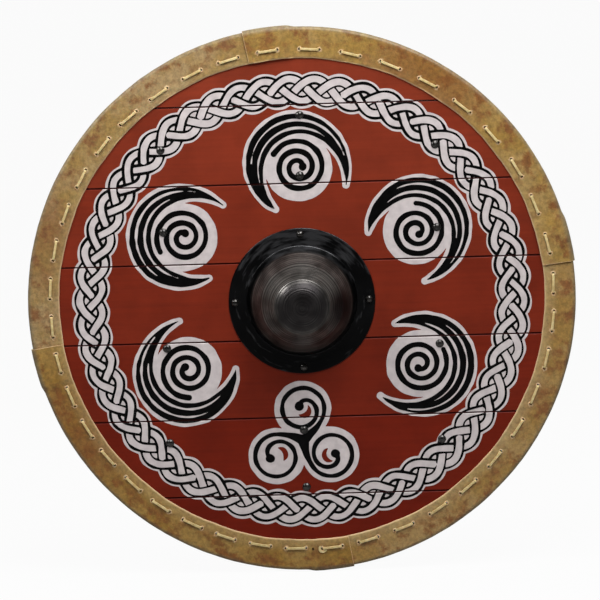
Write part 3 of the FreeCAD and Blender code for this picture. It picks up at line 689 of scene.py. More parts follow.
def bridge(shape, rings):
    """Joins each ring of points to the next one with faces. A ring may be a single point."""
    for ring, following in zip(rings, rings[1:]):
        for step in range(max(len(ring), len(following))):
            corners = [ring[step % len(ring)], ring[(step + 1) % len(ring)],
                       following[(step + 1) % len(following)], following[step % len(following)]]
            distinct = list(dict.fromkeys(corners))
            if len(distinct) > 2:
                shape.faces.new(distinct)


def finished_mesh(name, shape):
    """A shape worked in millimetres as a mesh in metres, with its faces turned outwards."""
    bmesh.ops.recalc_face_normals(shape, faces=shape.faces[:])
    bmesh.ops.scale(shape, vec=(MM, MM, MM), verts=shape.verts[:])
    mesh = bpy.data.meshes.new(name)
    shape.to_mesh(mesh)
    shape.free()
    return mesh


def turned_mesh(name, profile, segments):
    """Turns a closed profile of (radius, depth) about the shield's Y axis into a shell."""
    shell = bmesh.new()
    rings = []
    for radius, depth in profile:
        if radius < 1e-6:
            rings.append([shell.verts.new((0, depth, 0))])
        else:
            rings.append([
                shell.verts.new((radius * math.cos(2 * math.pi * step / segments), depth,
                                 radius * math.sin(2 * math.pi * step / segments)))
                for step in range(segments)])
    bridge(shell, rings + rings[:1])
    mesh = finished_mesh(name, shell)
    mesh.shade_smooth()
    return mesh


def blackened_steel():
    """Mild steel, spun and heat blackened: dark grey metal, stretched glints across its roller marks
    on the dome, and a nearly black, slightly wavy flange."""
    material, tree = new_material("mild_steel_spun_blackened")
    where = add_node(tree, "ShaderNodeTexCoord")
    flat = add_node(tree, "ShaderNodeVectorMath", {0: (where, "Object"), 1: (1, 0, 1)},
                    operation="MULTIPLY")
    radius = add_node(tree, "ShaderNodeVectorMath", {0: flat}, operation="LENGTH")
    # roller marks about 2 mm apart and slower bands about 9 mm apart
    fine = add_node(tree, "ShaderNodeTexNoise", {"W": radius, "Scale": 620, "Detail": 2},
                    noise_dimensions="1D")
    slow = add_node(tree, "ShaderNodeTexNoise", {"W": radius, "Scale": 110, "Detail": 2},
                    noise_dimensions="1D")
    # blotches of the blacking, about 25 mm across
    blotch = add_node(tree, "ShaderNodeTexNoise", {0: (where, "Object"), "Scale": 40, "Detail": 5})
    on_dome = add_node(tree, "ShaderNodeMapRange", {0: radius, 1: 72 * MM, 2: 68 * MM})
    # painted dark reflection: the crown faces the camera and mirrors the dim side of the room, so it is
    # darker
    knob_painted_dark = add_node(tree, "ShaderNodeMapRange", {0: radius, 1: 39 * MM, 2: 32 * MM,
                                                    4: 0.8})
    bands = add_node(tree, "ShaderNodeMapRange", {0: fine, 1: 0.38, 2: 0.62})
    stains = add_node(tree, "ShaderNodeMapRange", {0: blotch, 1: 0.4, 2: 0.7})
    # painted shade: a dark wedge on the right of the dome, where it reflects nothing lit
    wedge_off = add_node(tree, "ShaderNodeVectorMath", {
        0: (where, "Object"), 1: (0.057, PLANK_FRONT * MM - 0.045, -0.006)}, operation="DISTANCE")
    ragged = add_node(tree, "ShaderNodeMath", {0: blotch, 1: 0.03}, operation="MULTIPLY")
    wedge_edge = add_node(tree, "ShaderNodeMath", {0: wedge_off, 1: ragged}, operation="ADD")
    painted_dark_wedge = add_node(tree, "ShaderNodeMapRange", {0: wedge_edge, 1: 0.048, 2: 0.03, 4: 0.95})
    dome_colour = add_node(tree, "ShaderNodeMix", {
        0: bands, 6: linear("#3C3A38"), 7: linear("#6C6965")}, data_type="RGBA")
    for mask, tone in ((stains, "#2C2A28"), (knob_painted_dark, "#1B181A"), (painted_dark_wedge, "#121011")):
        dome_colour = add_node(tree, "ShaderNodeMix", {0: mask, 6: dome_colour, 7: linear(tone)},
                               data_type="RGBA")
    # painted sheen: lighter streaks that run round the flange, most of all at the top, where it catches
    # the light
    spot = add_node(tree, "ShaderNodeSeparateXYZ", {0: (where, "Object")})
    angle = add_node(tree, "ShaderNodeMath", {0: (spot, "X"), 1: (spot, "Z")}, operation="ARCTAN2")
    unrolled = add_node(tree, "ShaderNodeCombineXYZ", {"X": angle, "Y": radius})
    streak_space = add_node(tree, "ShaderNodeMapping", {0: unrolled, 3: (3, 170, 1)})
    streak = add_node(tree, "ShaderNodeTexNoise", {0: streak_space, "Scale": 1, "Detail": 4})
    sheen_toward_top = add_node(tree, "ShaderNodeMapRange", {0: (spot, "Z"), 1: 20 * MM, 2: 92 * MM,
                                                     3: 0.6, 4: 0.34})
    above_it = add_node(tree, "ShaderNodeMath", {0: streak, 1: sheen_toward_top}, operation="SUBTRACT")
    painted_sheen_streaks = add_node(tree, "ShaderNodeMapRange", {0: above_it, 1: 0.0, 2: 0.2})
    flange = add_node(tree, "ShaderNodeMix", {0: painted_sheen_streaks, 6: linear("#070708"), 7: linear("#444446")},
                      data_type="RGBA")
    colour = add_node(tree, "ShaderNodeMix", {0: on_dome, 6: flange, 7: dome_colour},
                      data_type="RGBA")
    rough = add_node(tree, "ShaderNodeMapRange", {0: blotch, 1: 0.3, 2: 0.7, 3: 0.28, 4: 0.4})
    ridges = add_node(tree, "ShaderNodeMath", {0: fine, 1: slow}, operation="ADD")
    turned = add_node(tree, "ShaderNodeBump", {"Height": ridges, "Distance": 0.2 * MM,
                                               "Strength": 0.6})
    # the flange's waves, about 30 mm long
    wave = add_node(tree, "ShaderNodeTexNoise", {0: (where, "Object"), "Scale": 33, "Detail": 3})
    bump = add_node(tree, "ShaderNodeBump", {"Height": wave, "Distance": 1.2 * MM, "Strength": 0.35,
                                             "Normal": turned})
    # the tangent runs round the boss, along the roller marks
    round_it = add_node(tree, "ShaderNodeVectorMath", {0: flat, 1: (0, 1, 0)},
                        operation="CROSS_PRODUCT")
    tangent = add_node(tree, "ShaderNodeVectorTransform", {0: round_it}, vector_type="VECTOR",
                       convert_from="OBJECT", convert_to="WORLD")
    surface = add_node(tree, "ShaderNodeBsdfPrincipled", {
        "Base Color": colour, "Metallic": 0.75, "Roughness": rough, "Normal": bump,
        "Anisotropic": 0.7, "Tangent": tangent, "Specular IOR Level": 0.3})
    add_node(tree, "ShaderNodeOutputMaterial", {"Surface": surface})
    return material


inner_line = evenly(rounded_line(BOSS_LINE, 0.8), BOSS_STEP)
along = headings(inner_line)
outer_line = inner_line + np.stack([along[:, 1], -along[:, 0]], -1) * BOSS_WALL
outer_line[:, 0] = np.maximum(outer_line[:, 0], 0)
outer_line[0, 0] = BOSS_FLANGE
outer_line[-1] = (0, inner_line[-1, 1] + BOSS_WALL)
# rings of the roller, up to 0.2 mm deep, on the dome alone
run = np.arange(len(outer_line)) * BOSS_STEP
waves = [np.sin(run * 2 * math.pi / step) for step in RING_STEPS]
rings = RING_DEPTH * (waves[0] + 0.7 * waves[1]) - 0.1
outer_line[:, 1] += np.where(outer_line[:, 0] < DOME_FOOT, rings, 0)
# the flange's front edge is broken with a file
outer_line = np.vstack([[BOSS_FLANGE, BOSS_WALL - BOSS_FILED], [BOSS_FLANGE - BOSS_FILED, BOSS_WALL],
                        outer_line[2:]])
boss_profile = [(radius, PLANK_FRONT - height) for radius, height in outer_line]
boss_profile += [(radius, PLANK_FRONT - height) for radius, height in inner_line[::-3]]
boss = new_piece("spun_boss", turned_mesh("spun_boss", boss_profile, 160), blackened_steel())
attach(boss, "root")
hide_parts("boss")


# Handle: one bar of ash behind the boss, carved to a rounded grip across the hand hole, with flat
# seats for the boss's rivets and thin arms that taper to chisel ends. It is oiled by use.
HANDLE_STATIONS = (
    # height, width, depth, rounding of the rear edges
    (0, 32, 25.6, 11), (52, 32, 25.8, 11), (64, 33, 24, 9), (80, 36, 14, 3.5), (105, 36, 14, 3.5),
    (139, 33, 10, 3.5), (291, 26, 10, 3.5), (297, 20, 8, 3), (300.3, 13, 6, 2.5))
HANDLE_FRONT = -13.0
# the grip's front edges are rounder by this much, up to this height, than the arms' front edges
GRIP_ROUND = 7
GRIP_HALF = 66
ARM_ROUND = 0.8
CORNER_STEPS = 6


def carved_handle():
    """The bar as rings of points along its length, rounder towards the middle of the grip."""
    heights = np.array([row[0] for row in HANDLE_STATIONS], float)
    places = np.unique(np.concatenate([np.arange(0, 300, 5), heights]))
    rows = [np.interp(places, heights, [row[column] for row in HANDLE_STATIONS]) for column in (1, 2, 3)]
    bar = bmesh.new()
    rings = []
    stations = [(-1, index) for index in range(len(places) - 1, -1, -1)]
    stations += [(1, index) for index in range(1, len(places))]
    for sign, index in stations:
        width, depth, rounding = (row[index] for row in rows)
        height = sign * places[index]
        front = GRIP_ROUND * max(0, 1 - (places[index] / GRIP_HALF) ** 4) + ARM_ROUND
        ring = []
        for corner, (right, rear) in enumerate(((1, 0), (1, 1), (-1, 1), (-1, 0))):
            bend = rounding if rear else front
            centre_x = right * (width / 2 - bend)
            centre_y = HANDLE_FRONT + (depth - bend if rear else bend)
            for step in range(CORNER_STEPS + 1):
                angle = math.radians((corner - 1) * 90 + step * 90 / CORNER_STEPS)
                ring.append(bar.verts.new((centre_x + bend * math.cos(angle),
                                           centre_y + bend * math.sin(angle), height)))
        rings.append(ring)
    bridge(bar, rings)
    for ring in (rings[0], rings[-1]):
        bar.faces.new(ring)
    mesh = finished_mesh("carved_handle", bar)
    mesh.shade_smooth()
    mesh.set_sharp_from_angle(angle=math.radians(40))
    return mesh


def grained_wood(name, early, late, scale, gloss, worn_tone=None):
    """Wood with its grain upright: fine fibres and slow bands. The hand has worn a grip darker."""
    material, tree = new_material(name)
    where = add_node(tree, "ShaderNodeTexCoord")
    # growth bands a few millimetres apart that wander slowly along the piece
    band_space = add_node(tree, "ShaderNodeMapping", {0: (where, "Object"), 3: (scale, scale, 4)})
    bands = add_node(tree, "ShaderNodeTexNoise", {0: band_space, "Scale": 1, "Detail": 5,
                                                  "Distortion": 0.5})
    fibre_space = add_node(tree, "ShaderNodeMapping", {0: (where, "Object"), 3: (1400, 1400, 26)})
    fibres = add_node(tree, "ShaderNodeTexNoise", {0: fibre_space, "Scale": 1, "Detail": 3})
    band_mask = add_node(tree, "ShaderNodeMapRange", {0: bands, 1: 0.4, 2: 0.62})
    wood = add_node(tree, "ShaderNodeMix", {0: band_mask, 6: linear(early), 7: linear(late)},
                    data_type="RGBA")
    fibre_mask = add_node(tree, "ShaderNodeMapRange", {0: fibres, 1: 0.3, 2: 0.7, 3: 0.8, 4: 1.05})
    colour = add_node(tree, "ShaderNodeMix", {0: 1.0, 6: wood, 7: fibre_mask},
                      data_type="RGBA", blend_type="MULTIPLY")
    if worn_tone:
        height = add_node(tree, "ShaderNodeSeparateXYZ", {0: (where, "Object")})
        away = add_node(tree, "ShaderNodeMath", {0: (height, "Z")}, operation="ABSOLUTE")
        worn = add_node(tree, "ShaderNodeMapRange", {0: away, 1: 85 * MM, 2: 45 * MM, 4: 0.6})
        colour = add_node(tree, "ShaderNodeMix", {0: worn, 6: colour, 7: linear(worn_tone)},
                          data_type="RGBA")
    bump = add_node(tree, "ShaderNodeBump", {"Height": fibres, "Distance": 0.2 * MM, "Strength": 0.4})
    surface = add_node(tree, "ShaderNodeBsdfPrincipled", {
        "Base Color": colour, "Roughness": gloss, "Normal": bump})
    add_node(tree, "ShaderNodeOutputMaterial", {"Surface": surface})
    return material


handle = new_piece("carved_handle", carved_handle(),
                   grained_wood("ash_carved_oiled", "#A77B4B", "#7F5730", 130, 0.42, "#5A3B22"))
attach(handle, "root")
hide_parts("handle")


# Battens: two planed pine laths across the joints, bevelled on their rear edges and left bare.
dress(("batten_left", "batten_right"),
      grained_wood("pine_laths_planed", "#C8A26C", "#A87A48", 95, 0.68))


# Rivets: cut from iron rod, headed with a hammer to low domes and peened behind over roves, then
# blackened in oil. Every head is turned and struck a little differently.
def forged_iron():
    """Iron, hammered and oil blackened: nearly black under a thin dry oil film, with worn spots."""
    material, tree = new_material("iron_forged_blackened")
    where = add_node(tree, "ShaderNodeTexCoord")
    # scale and hammer texture about 2 mm across
    scale = add_node(tree, "ShaderNodeTexNoise", {0: (where, "Object"), "Scale": 480, "Detail": 4})
    mask = add_node(tree, "ShaderNodeMapRange", {0: scale, 1: 0.4, 2: 0.7})
    colour = add_node(tree, "ShaderNodeMix", {0: mask, 6: linear("#181717"), 7: linear("#4A4743")},
                      data_type="RGBA")
    rough = add_node(tree, "ShaderNodeMapRange", {0: scale, 3: 0.2, 4: 0.38})
    bump = add_node(tree, "ShaderNodeBump", {"Height": scale, "Distance": 0.2 * MM, "Strength": 0.6})
    surface = add_node(tree, "ShaderNodeBsdfPrincipled", {
        "Base Color": colour, "Metallic": 0.8, "Roughness": rough, "Normal": bump,
        "Coat Weight": 0.45, "Coat Roughness": 0.17})
    add_node(tree, "ShaderNodeOutputMaterial", {"Surface": surface})
    return material


def solid_centres(name):
    """The X and Z of the middle of each separate solid of a carried-over piece, in metres."""
    heap = bmesh.new()
    heap.from_mesh(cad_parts[name].data)
    bmesh.ops.remove_doubles(heap, verts=heap.verts[:], dist=0.01 * MM)
    left = set(heap.verts)
    centres = []
    while left:
        group = [left.pop()]
        for vertex in group:
            for edge in vertex.link_edges:
                other = edge.other_vert(vertex)
                if other in left:
                    left.remove(other)
                    group.append(other)
        spots = np.array([vertex.co for vertex in group])
        middle = (spots.min(0) + spots.max(0)) / 2
        centres.append((middle[0], 0, middle[2]))
    heap.free()
    return sorted(centres)


def tree_inputs(tree, kinds):
    """Adds named inputs to a node tree and gives the identifier of each."""
    return {name: tree.interface.new_socket(name, in_out="INPUT", socket_type=kind).identifier
            for name, kind in kinds.items()}


def rivet_tree():
    """Sets a pattern on every point, turned at random, and dents it. It sets the rivets here, and
    round the awl holes of the rim their lips."""
    tree = bpy.data.node_groups.new("rivets_set_by_hand", "GeometryNodeTree")
    inputs = tree_inputs(tree, {
        "Points": "NodeSocketGeometry", "Pattern": "NodeSocketObject",
        "Dent Depth": "NodeSocketFloat", "Material": "NodeSocketMaterial"})
    tree.interface.new_socket("Rivets", in_out="OUTPUT", socket_type="NodeSocketGeometry")
    given = add_node(tree, "NodeGroupInput")
    pattern = add_node(tree, "GeometryNodeObjectInfo", {"Object": (given, "Pattern")})
    turn = add_node(tree, "FunctionNodeRandomValue", {"Seed": 0, 2: 0.0, 3: 2 * math.pi},
                    data_type="FLOAT")
    spin = add_node(tree, "ShaderNodeCombineXYZ", {"Y": turn})
    placed = add_node(tree, "GeometryNodeInstanceOnPoints", {
        "Points": (given, "Points"), "Instance": (pattern, "Geometry"), "Rotation": spin})
    whole = add_node(tree, "GeometryNodeRealizeInstances", {0: placed})
    place = add_node(tree, "GeometryNodeInputPosition")
    dents = add_node(tree, "ShaderNodeTexNoise", {0: place, "Scale": 330, "Detail": 1})
    centred = add_node(tree, "ShaderNodeMath", {0: dents, 1: 0.5}, operation="SUBTRACT")
    depth = add_node(tree, "ShaderNodeMath", {0: centred, 1: (given, "Dent Depth")},
                     operation="MULTIPLY")
    facing = add_node(tree, "GeometryNodeInputNormal")
    shift = add_node(tree, "ShaderNodeVectorMath", {0: facing, 3: depth}, operation="SCALE")
    dented = add_node(tree, "GeometryNodeSetPosition", {0: whole, "Offset": shift})
    finished = add_node(tree, "GeometryNodeSetMaterial", {0: dented, "Material": (given, "Material")})
    add_node(tree, "NodeGroupOutput", {0: finished})
    return tree, inputs


def keep_result(piece):
    """Makes what a piece's modifier gives its own plain mesh, and removes the modifier."""
    view = bpy.context.evaluated_depsgraph_get()
    mesh = bpy.data.meshes.new_from_object(piece.evaluated_get(view))
    piece.modifiers.clear()
    piece.data = mesh


def grown(name, mesh, tree, inputs, settings):
    """Runs a node tree on a mesh, with its inputs set, and keeps the result as a plain mesh object."""
    piece = new_piece(name, mesh)
    modifier = piece.modifiers.new("grow", "NODES")
    modifier.node_group = tree
    for key, setting in settings.items():
        modifier[inputs[key]] = setting
    keep_result(piece)
    piece.data.name = name
    return piece


def dome(radius, height, count):
    """Points of a low dome's section, from its middle out to its rim, as (radius, height)."""
    ball = (radius ** 2 + height ** 2) / (2 * height)
    widest = math.asin(radius / ball)
    return [(ball * math.sin(widest * step / count),
             ball * math.cos(widest * step / count) - ball + height) for step in range(count + 1)]


iron = forged_iron()
set_rivets, rivet_inputs = rivet_tree()
RIVET_SHANK = 2.1
RIVET_TAIL = 4
RIVET_TAIL_DOME = 2
RIVET_DENTS = 0.5
# the head's seat is this much smaller than the head
RIVET_EDGE = 0.5
# what each row of rivets holds, its heads' radius and how far they stand out
RIVET_ROWS = (("batten", 6, 3.4), ("handle", 6, 3.4), ("boss_side", 5.2, 3.6), ("boss_handle", 5.2, 3.6))
for row, head, head_dome in RIVET_ROWS:
    node = f"{row}_rivets"
    low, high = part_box(node)
    front, rear = low.y / MM, high.y / MM
    seat = front + head_dome
    tail = rear - RIVET_TAIL_DOME
    profile = [(radius, seat - height) for radius, height in dome(head, head_dome, 8)]
    profile += [(head - RIVET_EDGE, seat), (RIVET_SHANK, seat), (RIVET_SHANK, tail),
                (RIVET_TAIL, tail)]
    profile += [(radius, tail + height) for radius, height in dome(RIVET_TAIL, RIVET_TAIL_DOME, 5)[::-1]]
    pattern = new_piece("pattern_rivet", turned_mesh("pattern_rivet", profile, 28))
    points = bpy.data.meshes.new(node + "_places")
    points.from_pydata(solid_centres(node), [], [])
    rivets = grown(f"forged_{node}", points, set_rivets, rivet_inputs, {
        "Pattern": pattern, "Dent Depth": RIVET_DENTS * MM, "Material": iron})
    bpy.data.objects.remove(pattern)
    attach(rivets, "root")
    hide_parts(node)
dress([f"{row}_roves" for row, head, head_dome in RIVET_ROWS], iron)


# Rim: four lengths of rawhide, soaked, folded over the boards' edge, lapped at four seams and dried
# hard. The cut edges are paler than the skin side, and the awl left a raised lip at each hole.
RIM_OUTER = 380
HIDE = 1.8
HIDE_FIT = 0.3
HIDE_INNER_EDGE = 336.5
STITCH_CIRCLE = 349
HOLE_APART = 13.8
HOLE_ROUND = 2.05
SPARE_ROUND = 1.4
AWL_LONG = 30
# the lip's section, as (distance from the hole's middle, height into the hide)
LIP_LINE = ((3.3, 0.6), (3.2, 0.0), (2.8, -0.35), (2.4, -0.55), (2.05, -0.38), (1.9, 0.1), (1.95, 0.9))
LIP_DENTS = 0.4
RAMP = 14.0
STITCH_JOG = 6.0
BOARD_REAR = -13.0
RIM_BEND = 3.0
# the trimmed edge is rounded: its skin side stands back by the first, its flesh side by the second
SKIN_BACK = 0.5
FLESH_BACK = 0.1
# steps of the hide's section along a flat side and round a bend
FLAT_STEPS = 15
BEND_STEPS = 7
# how far an awl hole may lie off its circle and off its place along it
OFF_CIRCLE = 0.8
OFF_PLACE = 0.7
# and how far from the stitch's hole the spare one is
SPARE_APART = 13
# waves of the trimmed edge: height, how many go round the rim, and phase
EDGE_WAVES = ((0.4, 17, 1.1), (0.2, 41, 4), (0.1, 97, 0))
# the seams are in degrees clockwise from the top
Length = namedtuple("Length", "name first_seam last_seam on_top stitch_count")
RIM_LENGTHS = (
    Length("top_right", -10.9, 83.15, True, 10),
    Length("bottom_right", 83.15, 170.55, False, 10),
    Length("bottom_left", 170.55, 261.25, True, 11),
    Length("top_left", 261.25, 349.1, False, 10))
# the length with the spare hole and the knotted tail
BOTTOM_LEFT = 2
board_edge = RIM_OUTER - HIDE - HIDE_FIT
ramp_turn = math.degrees(RAMP / board_edge)
slack_turn = math.degrees(HIDE_FIT / board_edge)
jog_turn = math.degrees(STITCH_JOG / board_edge)
# degrees between the hide's sections, and from a cut end to the section next to it
SECTION_TURN = 0.4
CUT_TURN = 0.1


def outward(angle):
    """The direction from the shield's middle at an angle clockwise from the top, and the one along
    the rim."""
    turned = math.radians(angle)
    return (Vector((math.sin(turned), 0, math.cos(turned))),
            Vector((math.cos(turned), 0, -math.sin(turned))))


def swell(spot):
    """How far the dried hide stands out at a spot, in waves about 35 mm and about 10 mm long."""
    return 0.12 + noise.noise(spot * 0.03) * 0.35 + noise.noise(spot * 0.11) * 0.18


def raised_stitches(length):
    """How far each stitch of a length is raised: the end ones of a length on top lie on two hides."""
    ends = (0, length.stitch_count - 1)
    return [HIDE if length.on_top and stitch in ends else 0 for stitch in range(length.stitch_count)]


def stitches(number):
    """The front stitches of a length: the places of both awl holes on the hide's front, marked by
    eye a little off the line."""
    length = RIM_LENGTHS[number]
    hand = np.random.default_rng(40 + number)
    step = (length.last_seam - length.first_seam) / length.stitch_count
    pairs = []
    for stitch, raised in enumerate(raised_stitches(length)):
        radial, tangent = outward(length.first_seam + step * (stitch + 0.5))
        pair = []
        for side in (-1, 1):
            hole = (radial * (STITCH_CIRCLE + hand.uniform(-OFF_CIRCLE, OFF_CIRCLE))
                    + tangent * (side * HOLE_APART + hand.uniform(-OFF_PLACE, OFF_PLACE)))
            hole.y = PLANK_FRONT - HIDE - raised
            hole.y -= swell(hole)
            pair.append(hole)
        pairs.append(pair)
    return pairs


def spare_hole():
    """One hole of the bottom left length that was pricked and left unused."""
    far = stitches(BOTTOM_LEFT)[0][1]
    along = outward(math.degrees(math.atan2(far.x, far.z)))[1]
    return far + along * SPARE_APART


def lap(length):
    """How far a length on top reaches over its neighbours, in degrees."""
    step = (length.last_seam - length.first_seam) / length.stitch_count
    return step - jog_turn / 2 - slack_turn


def edge_radius(angle):
    """The wavy inner edge of the hide, trimmed by eye."""
    turned = math.radians(angle)
    return HIDE_INNER_EDGE + sum(height * math.sin(count * turned + phase)
                                 for height, count, phase in EDGE_WAVES)


def hide_line(raise_share, inner_radius, outside):
    """Points round the edge of the boards on one side of the hide, from its front to its rear edge."""
    thickness = HIDE if outside else 0
    lift = HIDE * raise_share
    wide = board_edge + HIDE_FIT + (HIDE + HIDE_FIT) * raise_share + thickness
    bend = RIM_BEND + (HIDE + HIDE_FIT) * raise_share + thickness
    front = PLANK_FRONT - lift - thickness
    rear = BOARD_REAR + lift + thickness
    start = inner_radius + (SKIN_BACK if outside else FLESH_BACK)
    flat = [start + (wide - bend - start) * step / FLAT_STEPS for step in range(FLAT_STEPS)]
    turns = [math.pi / 2 * step / BEND_STEPS for step in range(BEND_STEPS + 1)]
    points = [(radius, front) for radius in flat]
    points += [(wide - bend + bend * math.sin(turn), front + bend - bend * math.cos(turn))
               for turn in turns]
    points += [(wide - bend + bend * math.cos(turn), rear - bend + bend * math.sin(turn))
               for turn in turns]
    return points + [(radius, rear) for radius in flat[::-1]]


def hide_mesh(number):
    """One folded length as a closed skin, uneven outside, before its holes are punched."""
    length = RIM_LENGTHS[number]
    begin, end = length.first_seam, length.last_seam
    over = lap(length) + slack_turn
    if not length.on_top:
        begin -= lap(RIM_LENGTHS[number - 1])
        end += lap(RIM_LENGTHS[(number + 1) % len(RIM_LENGTHS)])
    sections = np.linspace(begin, end, int((end - begin) / SECTION_TURN) + 1)
    if length.on_top:
        # closer together over the ramps and at the cut ends
        ramp = ramp_turn * np.linspace(0, 1, 9)
        sections = np.concatenate([sections, begin + over + ramp, end - over - ramp,
                                   [begin + CUT_TURN, end - CUT_TURN]])
        sections = np.unique(sections.round(4))
    skin = bmesh.new()
    rings = []
    for angle in sections:
        inward = min(angle - length.first_seam, length.last_seam - angle)
        if length.on_top:
            share = min(max((over + ramp_turn - inward) / ramp_turn, 0), 1)
            raised = share * share * (3 - 2 * share)
            shown = 1.0
        else:
            # under its neighbours a length lies flat, without its swell
            raised = 0.0
            shown = min(max((inward - 0.3) / 1.2, 0), 1)
        radial = outward(angle)[0]
        trimmed = edge_radius(angle)
        outside = hide_line(raised, trimmed, True)
        inside = hide_line(raised, trimmed, False)
        fold = range(FLAT_STEPS + 3, len(outside) - FLAT_STEPS - 3)
        ring = []
        for place, (radius, depth) in enumerate(outside):
            spot = radial * radius + Vector((0, depth, 0))
            if 0 < place < len(outside) - 1:
                facing = -1 if place < len(outside) / 2 else 1
                away = radial if place in fold else Vector((0, facing, 0))
                spot += away * swell(spot) * shown
            ring.append(skin.verts.new(spot))
        rear_edge, front_edge = (
            (trimmed - FLESH_BACK, (outside[end][1] + inside[end][1]) / 2) for end in (-1, 0))
        ring += [skin.verts.new(radial * radius + Vector((0, depth, 0)))
                 for radius, depth in [rear_edge] + inside[::-1] + [front_edge]]
        rings.append(ring)
    bridge(skin, rings)
    half = len(rings[0]) // 2 - 1
    for ring in (rings[0], rings[-1]):
        for step in range(half - 1):
            skin.faces.new((ring[step], ring[step + 1], ring[2 * half - 1 - step], ring[2 * half - step]))
        skin.faces.new((ring[half - 1], ring[half], ring[half + 1]))
        skin.faces.new((ring[0], ring[2 * half], ring[2 * half + 1]))
    return finished_mesh(f"rawhide_{length.name}", skin)


all_holes = [hole for number in range(len(RIM_LENGTHS)) for pair in stitches(number) for hole in pair]


def awl_holes():
    """Round cutters through the hide at both ends of every front stitch."""
    cutters = bmesh.new()
    for hole, radius in [(hole, HOLE_ROUND) for hole in all_holes] + [(spare_hole(), SPARE_ROUND)]:
        place = Matrix.Translation((hole.x, (PLANK_FRONT + BOARD_REAR) / 2, hole.z))
        bmesh.ops.create_cone(
            cutters, cap_ends=True, segments=16, radius1=radius, radius2=radius,
            depth=AWL_LONG, matrix=place @ Matrix.Rotation(math.pi / 2, 4, "X"))
    return new_piece("awl", finished_mesh("awl", cutters))


def punched(piece, tool):
    """Takes the holes out of a length of hide."""
    cutter = piece.modifiers.new("punch", "BOOLEAN")
    cutter.object = tool
    cutter.operation = "DIFFERENCE"
    cutter.solver = "EXACT"
    keep_result(piece)


def add_lips(piece, number):
    """Adds the raised lips that the awl left round the holes of a length."""
    spots = bpy.data.meshes.new("lip_places")
    spots.from_pydata([hole * MM for pair in stitches(number) for hole in pair], [], [])
    pattern = new_piece("pattern_lip", turned_mesh("pattern_lip", LIP_LINE, 24))
    lips = grown("lips", spots, set_rivets, rivet_inputs, {
        "Pattern": pattern, "Dent Depth": LIP_DENTS * MM})
    both = bmesh.new()
    both.from_mesh(piece.data)
    both.from_mesh(lips.data)
    both.to_mesh(piece.data)
    both.free()
    bpy.data.objects.remove(lips)
    bpy.data.objects.remove(pattern)


# how far in from the trimmed edge and from a cut end the hide is paler, how much of that shows on
# a lip, and how far beyond a hole's or a lip's radius its points are counted
EDGE_PALE = 1.2
END_PALE = 0.85
LIP_PALE = 0.7
LIP_MARGIN = 0.2
HOLE_MARGIN = 0.1


def mark_cuts(piece, ends):
    """Writes how near each point is to a trimmed edge or a hole's lip, for the paler colour there, and
    minus one inside the holes, for the shade painted there."""
    mesh = piece.data
    spots = np.zeros(len(mesh.vertices) * 3)
    mesh.vertices.foreach_get("co", spots)
    spots = spots.reshape(-1, 3) / MM
    radius = np.hypot(spots[:, 0], spots[:, 2])
    angle = np.degrees(np.arctan2(spots[:, 0], spots[:, 2]))
    trimmed = np.array([edge_radius(turned) for turned in angle])
    pale = np.clip(1 - (radius - trimmed) / EDGE_PALE, 0, 1)
    for end in ends:
        along = np.abs((angle - end + 180) % 360 - 180) * math.pi / 180 * radius
        pale = np.maximum(pale, np.clip(END_PALE - along, 0, 1))
    for hole in all_holes:
        apart = np.hypot(spots[:, 0] - hole.x, spots[:, 2] - hole.z)
        pale = np.maximum(pale, np.where(apart < LIP_LINE[0][0] + LIP_MARGIN, LIP_PALE, 0))
        # a point inside a hole gets minus one, for painted shade
        pale = np.where((apart < HOLE_ROUND + HOLE_MARGIN) & (spots[:, 1] > hole.y), -1, pale)
    # painted shade inside the spare hole too
    spare = spare_hole()
    pale[np.hypot(spots[:, 0] - spare.x, spots[:, 2] - spare.z) < SPARE_ROUND + HOLE_MARGIN] = -1
    attribute = mesh.attributes.new("cut_edge", "FLOAT", "POINT")
    attribute.data.foreach_set("value", pale)


